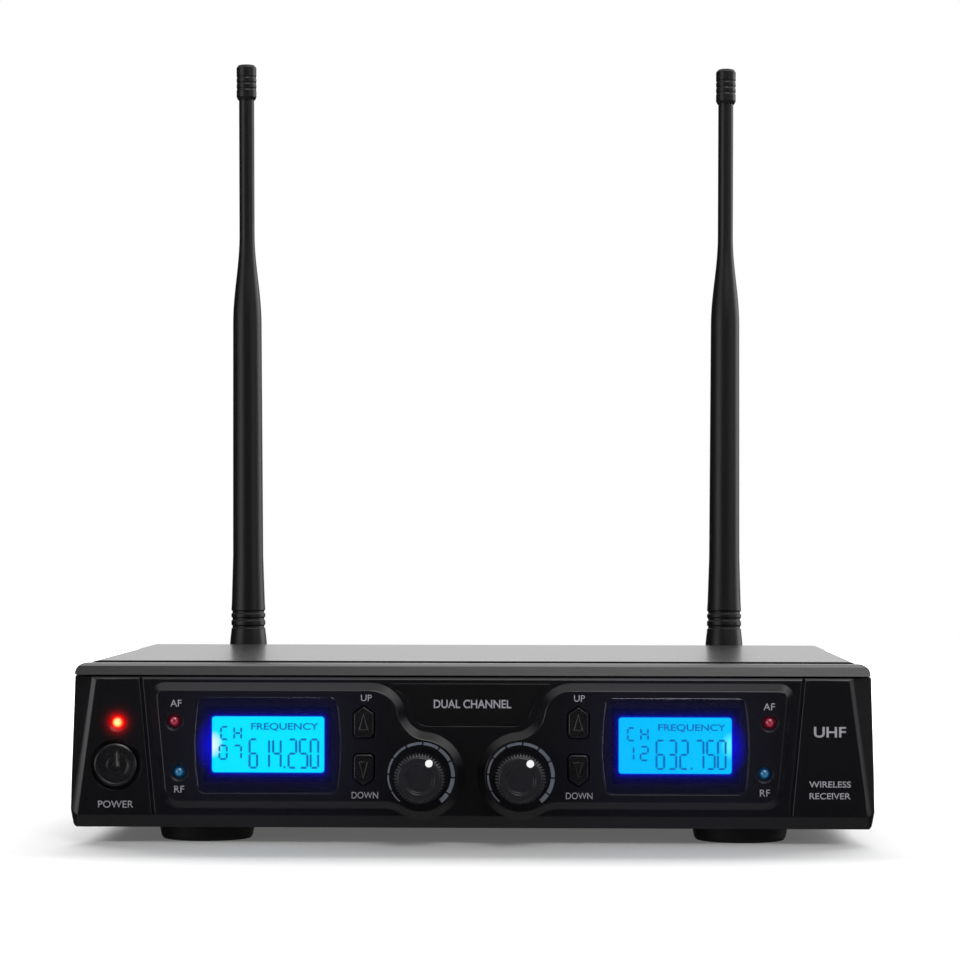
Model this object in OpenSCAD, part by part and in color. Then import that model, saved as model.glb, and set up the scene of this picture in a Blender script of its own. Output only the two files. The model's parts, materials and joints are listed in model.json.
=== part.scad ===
// Two-channel wireless microphone receiver: a half-width desktop case with two display
// and volume sections on its front, and two tilting whip antennas on its rear.
// Millimetres. X is to the right seen from the front, Y runs to the rear, Z is up.
// The origin is at the centre of the bounding box, on the surface that the feet stand on.

/* [Case] */
// Width of the two case shells
case_w = 202.4; // [202:0.1:203]
// Depth from the front panel's face to the shells' rear edge
case_d = 130; // [126:1:150]
// Height of the case without its feet
case_h = 42.6; // [42.4:0.1:44]
// Wall thickness of the shells
wall = 2; // [1.8:0.1:2.2]
// Height of the line where the shells meet, above the underside
split_v = 20; // [19:0.5:21]
// Height of the rubber feet
foot_h = 4.2; // [3:0.1:8]
// Radius of the rubber feet
foot_r = 12.5; // [9:0.5:13]

/* [Front panel] */
// Half width of the front panel at its top edge
panel_w_top = 103.2; // [102.8:0.1:103.4]
// Half width of the front panel where it is widest
panel_w_max = 103.7; // [103.5:0.1:104]
// Height of the front panel's top edge
panel_top = 38.8; // [38.6:0.1:39]
// How far the two raised fascias stand out of the panel
fascia_h = 2; // [1.6:0.1:2.2]
// Width of the slope round each fascia
fascia_slope = 2.1; // [1.8:0.1:2.2]
// Lean of the fascias' outer sides and of the grooves, in degrees
side_lean = 5.4; // [5:0.1:6]

/* [Controls] */
// Distance from the middle of the panel to each volume knob
knob_x = 12.85; // [12.6:0.05:13]
// Height of the volume knobs' axes
knob_v = 13.5; // [13.3:0.1:13.7]
// Radius over the knurls of a volume knob
knob_r = 6.55; // [6:0.05:7]
// Length of a volume knob
knob_len = 11.4; // [9:0.1:13]
// Number of knurls on a volume knob
knurls = 48; // [24:2:60]
// Angle of the knobs' pointers, clockwise from straight up
pointer_turn = 32; // [-140:1:140]
// Radius of the power button
power_r = 5.5; // [5:0.1:5.6]

/* [Displays] */
// Distance from the middle of the panel to the middle of each display window
window_x = 52.5; // [52:0.1:53]
// Height of the middle of the display windows
window_v = 21.3; // [21:0.1:21.6]
// Half width of a display window at mid height
window_w = 18.9; // [18.5:0.1:19.1]
// Half height of a display window
window_h = 12.4; // [12:0.1:12.6]

/* [Antennas] */
// Distance from the middle to each antenna
antenna_x = 72.6; // [68:0.2:76]
// Height of the antenna sockets and the other rear connectors
socket_v = 20.8; // [20.5:0.1:21]
// Length of an antenna above its hinge pin
antenna_len = 198.8; // [170:0.2:240]
// Backward lean of antenna B as it stands
antenna_lean_b = 3; // [0:1:10]
// Outward lean of both antennas as they stand
antenna_spread = 0.35; // [0:0.05:1]

/* [Hidden] */
$fn = 48;

// Depths are measured from the front panel's face towards the rear, heights from the
// case's underside. Side -1 is channel A, on the left, and side 1 is channel B.
A = -1;
B = 1;
cut = 0.1;          // overshoot of a cutting shape past the face that it opens
gap = 0.15;         // clearance between parts that are fitted to each other

// Front panel
panel_depth = 8;
panel_wall = 2.5;
panel_bottom = -0.2;
trim_w = 102.7;
face_top = 38.05;   // where the face turns into the bevel under the top trim
face_bottom = 3;    // where the face turns into the chin
cavity_w = 98.6;
pocket_inset = 1.8;
pocket_d = 0.8;

// Fascia outline: a run of arcs that touch, from the top corner beside the badge,
// round the knob, along the bottom and up the outer side
fascia_top = 35.5;
fascia_bottom = 6.6;
rim_r = 9.45;       // round the knob
neck_r = 7.8;       // the hollow beside the badge
neck_v = 30.66;
brow_r = 7.2;       // top corner beside the badge
dip_r = 10;         // the hollow where the bottom edge drops to the knob
side_x = 79;        // the outer side, at this height
side_v = 9.7;
chin_r = 4;
temple_r = 2;

// Display windows
window_corner = 2;
window_bulge = 68;  // radius of the windows' bowed sides
lens_sink = 0.25;
lens_thick = 1.5;
lcd_w = 36;
lcd_h = 22;

// Controls on the front
button_x = 27.6;
button_w = 5.3;
button_h = 8.2;
up_v = 27.4;
down_v = 15;
button_proud = 0.8;
button_stem = 11.2;
button_travel = 0.5;
led_r = 1.5;
af_at = [76.6, 27.4];
rf_at = [75.3, 14.3];
power_led_at = [-91.5, 26.9];
power_at = [-91.9, 16];
power_proud = 0.9;
power_stem = 9;
power_travel = 0.8;
shaft_r = 3;
knob_gap = 0.6;
knob_front = -fascia_h - knob_gap - knob_len;

// Boards
front_board_d = 13;
board_t = 1.6;
main_board_v = 7;
post_at = [[-82.5, 8], [-82.5, 33.5], [82.5, 8], [82.5, 33.5], [0, 7], [0, 31]];
standoff_x = 80;
standoff_d = [28, 110];
boss_x = 93;
boss_d = [24, 112];

// Rear
rear_d = case_d - 2.4;      // outer face of the rear panel
rear_t = 2;
xlr_x = [-38, -4];
jack_x = 24;
dc_x = 46;
jack_r = 3.2;
xlr_r = 7.8;
hinge_d = rear_d + 24;      // depth of the antennas' hinge pins
boot_r = 6.3;
tip_r = 3.05;

// The frame's origin is at the middle of the whole depth
reach = hinge_d + max(boot_r, antenna_len * sin(antenna_lean_b) + tip_r * cos(antenna_lean_b));
front_y = -(knob_front + reach) / 2;

// --- helpers ---------------------------------------------------------------------

// Carries case coordinates, [x, depth, height], into the part's frame
module in_case() translate([0, front_y, foot_h]) children();

// A flat shape drawn as seen from the front, made solid between two depths
module prism(d0, d1) translate([0, d1, 0]) rotate([90, 0, 0]) linear_extrude(d1 - d0) children();

// A round bar along the depth, at a point [x, v] of the front
module bar(at, d0, d1, r1, r2 = undef)
    translate([at[0], d0, at[1]]) rotate([-90, 0, 0])
        cylinder(h = d1 - d0, r1 = r1, r2 = is_undef(r2) ? r1 : r2);

module on_side(side) mirror([side < 0 ? 1 : 0, 0, 0]) children();

// Points along an arc; skip = 1 leaves out a start that the arc before it has drawn
function arc(c, r, a0, a1, n, skip = 0) =
    [for (i = [skip:n]) let (a = a0 + (a1 - a0) * i / n) c + r * [cos(a), sin(a)]];

function rounded_box(x0, x1, y0, y1, r_low, r_high, n = 6) = concat(
    arc([x1 - r_low, y0 + r_low], r_low, -90, 0, n),
    arc([x1 - r_high, y1 - r_high], r_high, 0, 90, n),
    arc([x0 + r_high, y1 - r_high], r_high, 90, 180, n),
    arc([x0 + r_low, y0 + r_low], r_low, 180, 270, n));

// A solid through rings, each [grow, depth], of an outline given as one list per ring
module loft(outlines, depths) {
    n = len(outlines[0]);
    last = len(depths) - 1;
    polyhedron(
        points = [for (k = [0:last]) for (p = outlines[k]) [p[0], depths[k], p[1]]],
        faces = concat(
            [[for (i = [n - 1:-1:0]) i]],
            [[for (i = [0:n - 1]) last * n + i]],
            [for (k = [0:last - 1]) for (i = [0:n - 1]) let (j = (i + 1) % n)
                [k * n + i, k * n + j, (k + 1) * n + j, (k + 1) * n + i]]));
}

// --- outlines --------------------------------------------------------------------

knob_at = [knob_x, knob_v];
neck_at = [knob_x - sqrt(pow(neck_r + rim_r, 2) - pow(neck_v - knob_v, 2)), neck_v];
brow_v = fascia_top - brow_r;
brow_at = [neck_at[0] + sqrt(pow(neck_r + brow_r, 2) - pow(neck_v - brow_v, 2)), brow_v];
dip_v = fascia_bottom - dip_r;
dip_at = [knob_x + sqrt(pow(dip_r + rim_r, 2) - pow(knob_v - dip_v, 2)), dip_v];
side_line = side_x * cos(side_lean) - side_v * sin(side_lean);
function inside_side(r, v) = [(side_line - r + v * sin(side_lean)) / cos(side_lean), v];
function heading(from, to) = atan2(to[1] - from[1], to[0] - from[0]);

// The fascia's flat outline, grown by g
function fascia(g) =
    let (to_neck = heading(brow_at, neck_at), to_knob = heading(neck_at, knob_at),
         to_dip = 360 + heading(knob_at, dip_at))
    concat(
        arc(brow_at, brow_r + g, 90, to_neck, 10),
        arc(neck_at, neck_r - g, to_neck - 180, to_knob, 9, 1),
        arc(knob_at, rim_r + g, to_knob + 180, to_dip, 24, 1),
        arc(dip_at, dip_r - g, to_dip - 180, 90, 5, 1),
        arc(inside_side(chin_r, fascia_bottom + chin_r), chin_r + g, 270, 360 - side_lean, 7),
        arc(inside_side(temple_r, fascia_top - temple_r), temple_r + g, -side_lean, 90, 7));

// A display window's outline about its middle, grown by g: the sides bow outwards
function window(g) =
    let (cy = window_h - window_corner, bow = asin(cy / (window_bulge - window_corner)),
         sx = window_w - window_bulge, cx = sx + (window_bulge - window_corner) * cos(bow),
         r = window_corner + g, R = window_bulge + g)
    [for (p = concat(
        arc([sx, 0], R, -bow, bow, 6, 1), arc([cx, cy], r, bow, 90, 5, 1),
        arc([-cx, cy], r, 90, 180 - bow, 5), arc([-sx, 0], R, 180 - bow, 180 + bow, 6, 1),
        arc([-cx, -cy], r, 180 + bow, 270, 5, 1), arc([cx, -cy], r, 270, 360 - bow, 5)))
        p + [window_x, window_v]];

// A channel button's outline about its middle, pointed at the top, grown by g
function house(g) =
    let (w = button_w / 2, h = button_h / 2, r = 1.2, shoulder = 2.1)
    concat([[w + g, shoulder + g / 3], [0, h + g * 1.25], [-w - g, shoulder + g / 3]],
        arc([-w + r, -h + r], r + g, 180, 270, 4), arc([w - r, -h + r], r + g, 270, 360, 4));

// The badge plate's outline, grown by g: straight top, flared sides, round lower corners
function badge(g) =
    let (r = 4, c = [11, 30.3], half = concat(
        arc(c, r + g, -90, -12, 6), [[16.2 + g, 33]], arc([21.6, 29.4], 6.5 - g, 145, 110, 4),
        [[20.5 + g, 37.2 + g]]))
    concat(half, [for (i = [len(half) - 1:-1:0]) [-half[i][0], half[i][1]]]);

function shell(inset) = rounded_box(-case_w / 2 + inset, case_w / 2 - inset, inset,
    case_h - inset, max(3 - inset, 0.6), max(3.5 - inset, 0.6), 8);

// --- case ------------------------------------------------------------------------

module shell_half(v0, v1) prism(panel_depth + 0.2, case_d) intersection() {
    difference() {
        polygon(shell(0));
        polygon(shell(wall));
    }
    translate([-case_w, v0]) square([2 * case_w, v1 - v0]);
}

// Slot in the shells that holds the rear panel's edge
module rear_groove() prism(rear_d - rear_t - 0.1, rear_d + 0.1) polygon(shell(wall - 0.9));

module top_cover() color("dimgray") in_case() difference() {
    union() {
        difference() {
            shell_half(split_v + gap, case_h + 1);
            rear_groove();
        }
        for (x = [-boss_x, boss_x], d = boss_d)
            translate([x, d, split_v + gap]) cylinder(h = case_h - split_v - 1, r = 3.5);
    }
    for (x = [-boss_x, boss_x], d = boss_d)
        translate([x, d, split_v]) cylinder(h = 14, r = 1.3);
    for (i = [0:8])
        translate([-case_w, 62 + i * 4, split_v + 5]) cube([2 * case_w, 1.6, 10]);
}

module bottom_case() color("dimgray") in_case() difference() {
    union() {
        difference() {
            shell_half(-1, split_v - gap);
            rear_groove();
        }
        for (x = [-boss_x, boss_x], d = boss_d)
            translate([x, d, 1]) cylinder(h = split_v - gap - 1, r = 4);
        for (x = [-standoff_x, standoff_x], d = standoff_d)
            translate([x, d, 1]) cylinder(h = main_board_v - 1, r = 3.2);
        for (side = [A, B]) on_side(side) alignment_lip();
    }
    for (x = [-boss_x, boss_x], d = boss_d) translate([x, d, -cut]) {
        cylinder(h = split_v + 1, r = 1.7);
        cylinder(h = 15 + cut, r = 3.1);
    }
    for (x = [-standoff_x, standoff_x], d = standoff_d)
        translate([x, d, wall]) cylinder(h = main_board_v, r = 1.25);
}

// Lip on the lower shell's side wall that keys the upper shell in place
module alignment_lip() {
    inner = case_w / 2 - wall;
    translate([inner - 1.1, 34, split_v - 4]) cube([1.3, 70, 4 - gap]);
    translate([inner - 1.1, 34, split_v - 4]) cube([0.95, 70, 6]);
}

module rear_panel() color("darkslategray") in_case() difference() {
    prism(rear_d - rear_t, rear_d) polygon(shell(wall - 0.8));
    for (x = xlr_x) {
        bar([x, socket_v], rear_d - rear_t - cut, rear_d + cut, 11);
        for (p = xlr_screw_at(x)) bar(p, rear_d - rear_t - cut, rear_d + cut, 1.3);
    }
    bar([jack_x, socket_v], rear_d - rear_t - cut, rear_d + cut, 4.7);
    bar([dc_x, socket_v], rear_d - rear_t - cut, rear_d + cut, 4.2);
    for (x = [-antenna_x, antenna_x])
        bar([x, socket_v], rear_d - rear_t - cut, rear_d + cut, 4.9);
}

module rubber_feet() color("black") for (x = [-70, 70], d = [17, 110])
    translate([x, front_y + d, 0]) rotate_extrude() polygon([
        [0, 0.6], [foot_r - 4, 0.6], [foot_r - 3.6, 0], [foot_r - 1, 0],
        [foot_r - 0.5, 0.8], [foot_r, foot_h - 1], [foot_r, foot_h], [0, foot_h]]);

// A pan-head screw along its own axis, head upwards, with its seat at the origin
module screw(shank_len, shank_r = 1.2, head_r = 2.7, head_h = 2) difference() {
    union() {
        translate([0, 0, -shank_len]) cylinder(h = shank_len + cut, r = shank_r);
        cylinder(h = head_h * 0.6, r = head_r);
        translate([0, 0, head_h * 0.6]) cylinder(h = head_h * 0.4, r1 = head_r, r2 = head_r * 0.7);
    }
    for (a = [0, 90]) rotate([0, 0, a])
        translate([-head_r * 0.6, -0.35, head_h * 0.45]) cube([head_r * 1.2, 0.7, head_h]);
}

module case_screws() color("black") in_case() for (x = [-boss_x, boss_x], d = boss_d)
    translate([x, d, 14.98]) rotate([180, 0, 0]) screw(15);

// --- front -----------------------------------------------------------------------

// Outer form of the panel: a flat face with a narrow bright edge strip and a broad
// facet at each end, a bevel along the top and a chin along the bottom
module panel_form() {
    strip_d = 0.55;
    half = [
        [97.1, 0, face_top], [101.9, 0, face_bottom],
        [98.2, strip_d, panel_top], [102.85, strip_d, 3.6],
        [panel_w_top, 4.5, panel_top], [panel_w_max, 2.05, 12], [panel_w_max, 1.15, 4.2],
        [102.4, 1.6, panel_bottom], [103.1, 2, 0.5],
        [panel_w_top, panel_depth, panel_top], [panel_w_max, panel_depth, 12],
        [panel_w_max, panel_depth, 4.2], [102.6, panel_depth, panel_bottom + 0.5]];
    points = concat(half, [for (p = half) [-p[0], p[1], p[2]]]);
    hull() polyhedron(points, [for (i = [0:len(points) - 3]) [i, i + 1, i + 2]]);
}

module groove() translate([83.85, 0, 21]) rotate([0, side_lean, 0])
    linear_extrude(36, center = true) polygon([[-0.55, -cut], [0.55, -cut], [0, 0.6]]);

// A raised fascia: a flat top with a short upright edge, and slopes that run into the panel
module fascia_solid() {
    edge = 0.2;
    prism(-fascia_h, 0.3) polygon(fascia(0));
    loft([for (g = [0, fascia_slope, fascia_slope]) fascia(g)], [edge - fascia_h, 0.3, 1.4]);
}

// Hole for an LED, widened where it opens at depth d0
module led_hole(at, d0, d1) {
    bar(at, d0 - cut, d1 + cut, led_r + 0.1);
    bar(at, d0 - 0.01, d0 + 0.75, led_r + 0.85, led_r + 0.1);
}

module button_shape(g, up) translate([button_x, up ? up_v : down_v])
    mirror([0, up ? 0 : 1]) polygon(house(g));

// Rim on the panel's rear that fits inside the shells
module spigot() prism(panel_depth - 0.2, 12) intersection() {
    difference() {
        polygon(shell(wall + gap));
        polygon(shell(wall + gap + 1.2));
    }
    translate([-case_w, 0]) square([2 * case_w, panel_top - 1]);
}

module front_panel() color("#141416") in_case() {
    difference() {
        union() {
            panel_form();
            for (side = [A, B]) on_side(side) fascia_solid();
        }
        prism(panel_wall, panel_depth + cut)
            translate([-cavity_w, 2.2]) square([2 * cavity_w, panel_top - 4.2]);
        for (side = [A, B]) on_side(side) {
            prism(pocket_d, panel_wall + cut) polygon(fascia(-pocket_inset));
            groove();
            prism(-fascia_h - cut, lens_back) polygon(window(gap));
            prism(lens_back - cut, pocket_d + cut) translate([window_x - 16.5, window_v - 9.8])
                square([33, 19.6]);
            for (up = [true, false]) prism(-fascia_h - cut, pocket_d + cut) button_shape(0.25, up);
            bar(knob_at, -fascia_h - cut, pocket_d + cut, shaft_r + 0.5);
            led_hole(af_at, -fascia_h, pocket_d);
            led_hole(rf_at, -fascia_h, pocket_d);
        }
        led_hole(power_led_at, 0, panel_wall);
        bar(power_at, -cut, panel_wall + cut, power_r + 0.25);
        bar(power_at, -0.01, 1, power_r + 1.2, power_r + 0.25);
        prism(-cut, 0.6) polygon(badge(gap));
    }
    for (p = post_at) difference() {
        bar(p, panel_wall - 0.2, front_board_d, 2.7);
        bar(p, panel_wall + 4, front_board_d + cut, 1.25);
    }
    spigot();
}
lens_back = -fascia_h + lens_sink + lens_thick;

module badge_plate() color("#18181a") in_case() prism(0.08, 0.58) polygon(badge(0));

// Strip along the front panel's top: its front is a sloped band with a bevel above it,
// and its rear tongue lies under the top cover
module top_trim() color("#3a3a3c") in_case() intersection() {
    translate([-case_w, 0, 0]) rotate([90, 0, 90]) linear_extrude(2 * case_w) polygon([
        [0.3, panel_top + 0.4], [1.4, 41.45], [3.2, 42.15], [panel_depth, 42.15],
        [panel_depth, case_h - wall - gap], [12, case_h - wall - gap], [12, panel_top + 0.05],
        [3, panel_top + 0.05], [3, panel_top + 0.4]]);
    union() {
        prism(0, panel_depth)
            polygon(rounded_box(-trim_w, trim_w, 30, 42.15, 1, 2.4));
        prism(panel_depth - cut, 13) polygon(shell(wall + gap));
    }
}

module display_lens(side) color("#101020") in_case() on_side(side)
    prism(-fascia_h + lens_sink, lens_back) polygon(window(0));

module lcd_glass(side) color("deepskyblue") in_case() on_side(side)
    translate([window_x - lcd_w / 2, pocket_d + 0.2, window_v - lcd_h / 2]) cube([lcd_w, 2.2, lcd_h]);

// Light box behind the glass, on four legs that stand on the front board
module lcd_backlight(side) color("white") in_case() on_side(side) {
    translate([window_x - lcd_w / 2, pocket_d + 2.4, window_v - lcd_h / 2]) cube([lcd_w, 4.8, lcd_h]);
    for (x = [-1, 1], v = [-1, 1]) bar([window_x + x * 15, window_v + v * 8.5],
        pocket_d + 7, front_board_d, 1);
}

module power_button() color("#1a1a1c") in_case() difference() {
    union() {
        bar(power_at, -power_proud, 3.4, power_r);
        bar(power_at, -power_proud - 0.3, -power_proud, power_r - 0.4, power_r);
        bar(power_at, panel_wall + 0.1, 3.5, power_r + 0.5);
        bar(power_at, 3.4, power_stem, 1.5);
    }
    // The sign: a broken ring and a bar, sunk into the face
    difference() {
        bar(power_at, -2, -power_proud - 0.1, 3.3);
        bar(power_at, -2, -power_proud, 2.8);
        translate([power_at[0] - 1.2, -3, power_at[1]]) cube([2.4, 4, 5]);
    }
    translate([power_at[0] - 0.25, -2, power_at[1] - 0.2]) cube([0.5, 2 - power_proud - 0.1, 3.8]);
}

module power_switch() color("dimgray") in_case() difference() {
    translate([power_at[0] - 4, 6, power_at[1] - 4]) cube([8, front_board_d - 6, 8]);
    bar(power_at, 5, power_stem + power_travel + 0.3, 1.55);
}

module channel_button(side, up) color("#1c1c1e") in_case() on_side(side) {
    v = up ? up_v : down_v;
    prism(-fascia_h - button_proud, pocket_d + 0.4) button_shape(0, up);
    prism(pocket_d + 0.2, pocket_d + 1) button_shape(0.7, up);
    bar([button_x, v], pocket_d + 0.9, button_stem, 1.5);
}

module tact_switches() color("#303030") in_case()
    for (x = [-button_x, button_x], v = [up_v, down_v]) difference() {
        translate([x - 3, 9.5, v - 3]) cube([6, front_board_d - 9.5, 6]);
        bar([x, v], 9, button_stem + button_travel + 0.3, 1.55);
    }

function knurl(r) = [for (i = [0:2 * knurls - 1]) let (a = 180 * i / knurls, q = r - (i % 2) * 0.3)
    q * [cos(a), sin(a)]];
pointer_at = 4.6 * [sin(pointer_turn), cos(pointer_turn)];

module at_knob(side) translate([side * knob_x, 0, knob_v]) children();

module volume_knob(side) color("#1a1a1c") in_case() at_knob(side) difference() {
    union() {
        prism(knob_front + 1.6, -fascia_h - knob_gap) polygon(knurl(knob_r));
        bar([0, 0], knob_front + 0.4, knob_front + 1.7, knob_r - 0.5);
        bar([0, 0], knob_front, knob_front + 0.4, knob_r - 0.9, knob_r - 0.5);
    }
    bar([0, 0], knob_front - cut, knob_front + 0.6, 4 + cut / 2, 3.3);
    bar(pointer_at, knob_front - cut, knob_front + 1, 1);
    difference() {
        bar([0, 0], knob_front + 2.4, -fascia_h, shaft_r + 0.03);
        translate([-5, knob_front + 2, shaft_r - 0.97]) cube([10, 6, 5]);
    }
}

module knob_pointer(side) color("white") in_case() at_knob(side)
    bar(pointer_at, knob_front - 0.08, knob_front + 0.98, 0.97);

// Potentiometer shaft with a flat on the end that the knob fits
module pot_shaft(side) color("silver") in_case() at_knob(side) difference() {
    bar([0, 0], knob_front + 2.5, 11, shaft_r);
    translate([-5, knob_front + 1, shaft_r - 1]) cube([10, 7.2, 5]);
}

module potentiometers() color("steelblue") in_case() for (side = [A, B]) at_knob(side) difference() {
    union() {
        translate([-4.9, 6.4, -6.5]) cube([9.8, front_board_d - 6.4, 12]);
        bar([0, 0], 3.4, 6.5, 4.5);
    }
    bar([0, 0], 3, 11.5, shaft_r + 0.05);
}

// An LED whose tip is at depth d: dome, barrel, flange and two leads into the board
module led(at, d) {
    translate([at[0], d + led_r, at[1]]) sphere(r = led_r);
    bar(at, d + led_r, d + 5, led_r);
    bar(at, d + 4.4, d + 5.4, led_r + 0.4);
    for (x = [-0.9, 0.9])
        translate([at[0] + x - 0.25, d + 5.3, at[1] - 0.25]) cube([0.5, front_board_d - d - 5.3, 0.5]);
}

module power_led() color("red") in_case() led(power_led_at, -0.5);
module af_leds() color("crimson") in_case()
    for (side = [A, B]) on_side(side) led(af_at, -fascia_h - 0.1);
module rf_leds() color("royalblue") in_case()
    for (side = [A, B]) on_side(side) led(rf_at, -fascia_h - 0.1);

// --- inside ----------------------------------------------------------------------

module front_board() color("darkgreen") in_case() difference() {
    translate([-97, front_board_d, 4]) cube([194, board_t, 33]);
    for (p = post_at) bar(p, front_board_d - cut, front_board_d + board_t + cut, 1.6);
}

module main_board() color("darkgreen") in_case() difference() {
    translate([-86, 20, main_board_v]) cube([172, 98, board_t]);
    for (x = [-standoff_x, standoff_x], d = standoff_d)
        translate([x, d, main_board_v - cut]) cylinder(h = board_t + 2 * cut, r = 1.6);
}

module board_screws() color("silver") in_case() {
    for (x = [-standoff_x, standoff_x], d = standoff_d)
        translate([x, d, main_board_v + board_t]) screw(5.5);
    for (p = post_at) translate([p[0], front_board_d + board_t, p[1]])
        rotate([-90, 0, 0]) screw(5.5);
}

// Flat cable that leaves the front board to the rear and turns down to the main board
module ribbon_cable() color("lightgray") in_case() {
    bend = 7;
    t = 0.9;
    centre = [24, 17];
    translate([-10, 0, 0]) rotate([90, 0, 90]) linear_extrude(20) polygon(concat(
        [[19.6, centre[1] + bend + t]], arc(centre, bend + t, 90, 0, 8),
        [[centre[0] + bend + t, 14.8], [centre[0] + bend, 14.8]],
        arc(centre, bend, 0, 90, 8), [[19.6, centre[1] + bend]]));
}

module ribbon_headers() color("ivory") in_case() {
    translate([-12, front_board_d + board_t, 22]) cube([24, 5, 5]);
    translate([-12, 29, main_board_v + board_t]) cube([24, 5, 6.2]);
}

// Folded tinplate cans over the two radio sections
module rf_shields() color("silver") in_case() for (x = [-66, 28]) difference() {
    translate([x, 46, main_board_v + board_t]) cube([40, 28, 9]);
    translate([x + 0.5, 46.5, main_board_v]) cube([39, 27, 10.1]);
    for (i = [0:2], j = [0:1])
        translate([x + 9 + 11 * i, 54 + 12 * j, main_board_v + 9]) cylinder(h = 3, r = 1.5);
}

module capacitors() color("midnightblue") in_case()
    for (c = [[70, 88, 5, 13], [58, 96, 4, 11], [-20, 92, 3.2, 9], [-6, 92, 3.2, 9],
              [8, 92, 3.2, 9], [-60, 92, 3.2, 8], [-72, 84, 2.5, 7]])
        translate([c[0], c[1], main_board_v + board_t]) difference() {
            cylinder(h = c[3], r = c[2]);
            translate([0, 0, c[3] - 0.3]) for (a = [0, 90]) rotate([0, 0, a])
                translate([-c[2] * 0.7, -0.15, 0]) cube([c[2] * 1.4, 0.3, 1]);
        }

module board_chips() color("#202020") in_case() {
    for (c = [[-12, 50, 14, 14, 2], [-44, 84, 10, 8, 2.4], [-30, 80, 8, 6, 2], [22, 80, 10, 8, 2.4],
              [-14, 72, 10, 8, 2]])
        translate([c[0], c[1], main_board_v + board_t]) cube([c[2], c[3], c[4]]);
    translate([39, 86.7, main_board_v + board_t + 2]) cube([10, 4.5, 15]);
}

// Finned heat sink behind the voltage regulator
module heat_sink() color("gainsboro") in_case() {
    translate([34, 84, main_board_v + board_t]) cube([20, 2.5, 20]);
    for (i = [0:4]) translate([34 + i * 4.6, 77, main_board_v + board_t]) cube([1.6, 7.2, 20]);
}

// --- rear connectors -------------------------------------------------------------

function xlr_screw_at(x) = [[x - 9.5, socket_v + 12], [x + 9.5, socket_v - 12]];

module xlr_sockets() color("#18181a") in_case() for (x = xlr_x) difference() {
    union() {
        prism(rear_d + 0.01, rear_d + 2)
            polygon(rounded_box(x - 13, x + 13, socket_v - 15.5, socket_v + 15.5, 3, 3));
        bar([x, socket_v], rear_d - 16, rear_d + 1, 10.5);
    }
    bar([x, socket_v], rear_d - 12, rear_d + 2 + cut, xlr_r);
    for (i = [0:2]) bar(xlr_pin_at(x, i), rear_d - 15, rear_d - 11, 1.22);
    for (p = xlr_screw_at(x)) bar(p, rear_d - cut, rear_d + 2 + cut, 1.6);
}

function xlr_pin_at(x, i) = [x, socket_v] + 3.7 * [cos(30 + 120 * i), sin(30 + 120 * i)];

module xlr_pins() color("gold") in_case() for (x = xlr_x, i = [0:2]) {
    bar(xlr_pin_at(x, i), rear_d - 15, rear_d - 3.4, 1.2);
    bar(xlr_pin_at(x, i), rear_d - 3.4, rear_d - 2.8, 1.2, 0.7);
}

module xlr_screws() color("silver") in_case() for (x = xlr_x, p = xlr_screw_at(x))
    translate([p[0], rear_d + 2, p[1]]) rotate([-90, 0, 0]) screw(6, 1.2, 2.6, 1.6);

module jack_socket() color("#18181a") in_case() difference() {
    union() {
        bar([jack_x, socket_v], rear_d - 3, rear_d + 5, 4.5);
        translate([jack_x - 8, rear_d - 26, socket_v - 8]) cube([16, 26 - rear_t - gap, 16]);
    }
    bar([jack_x, socket_v], rear_d - 25, rear_d + 5 + cut, jack_r);
}

module dc_inlet() color("#18181a") in_case() {
    difference() {
        union() {
            bar([dc_x, socket_v], rear_d - 3, rear_d + 4, 4);
            translate([dc_x - 5, rear_d - 14, socket_v - 6]) cube([10, 14 - rear_t - gap, 11]);
        }
        bar([dc_x, socket_v], rear_d - 8, rear_d + 4 + cut, 2.9);
    }
    bar([dc_x, socket_v], rear_d - 8.5, rear_d + 2.5, 1);
}

module hex_nut(at, d0, across, h, hole) difference() {
    translate([at[0], d0, at[1]]) rotate([-90, 0, 0]) cylinder(h = h, r = across / sqrt(3), $fn = 6);
    bar(at, d0 - cut, d0 + h + cut, hole);
}

module panel_nuts() color("silver") in_case() {
    hex_nut([jack_x, socket_v], rear_d + 0.01, 12, 2.2, 4.53);
    hex_nut([dc_x, socket_v], rear_d + 0.01, 11, 2, 4.03);
}

// Bayonet bulkhead sockets for the antennas
module antenna_sockets() color("silver") in_case() for (x = [-antenna_x, antenna_x]) {
    at = [x, socket_v];
    difference() {
        union() {
            bar(at, rear_d - 9, rear_d + 10, 4.75);
            bar(at, rear_d - 5, rear_d - rear_t - 0.02, 6.5);
            translate([x, rear_d + 7, socket_v]) cylinder(h = 11.2, r = 0.95, center = true);
        }
        bar(at, rear_d + 2, rear_d + 10 + cut, 3.5);
    }
    bar(at, rear_d + 1.5, rear_d + 8, 1);
}

module antenna_socket_nuts() color("silver") in_case() for (x = [-antenna_x, antenna_x])
    hex_nut([x, socket_v], rear_d + 0.01, 14, 2.4, 4.78);

// --- antennas --------------------------------------------------------------------

module at_hinge(side) translate([side * antenna_x, hinge_d, socket_v])
    rotate([0, side * antenna_spread, 0]) children();
function lean(side) = side == B ? antenna_lean_b : 0;

// Knurled coupling ring that turns a quarter turn to lock
module antenna_collar(side) color("#202022") in_case() translate([side * antenna_x, 0, socket_v])
    difference() {
        union() {
            prism(rear_d + 4, rear_d + 13) polygon([for (i = [0:63]) (7.2 - (i % 2) * 0.3)
                * [cos(i * 5.625), sin(i * 5.625)]]);
            bar([0, 0], rear_d + 2.8, rear_d + 14.6, 6.75);
        }
        bar([0, 0], rear_d + 2.6, rear_d + 13.2, 5.85);
        bar([0, 0], rear_d + 13, rear_d + 15, 4.65);
    }

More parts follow.
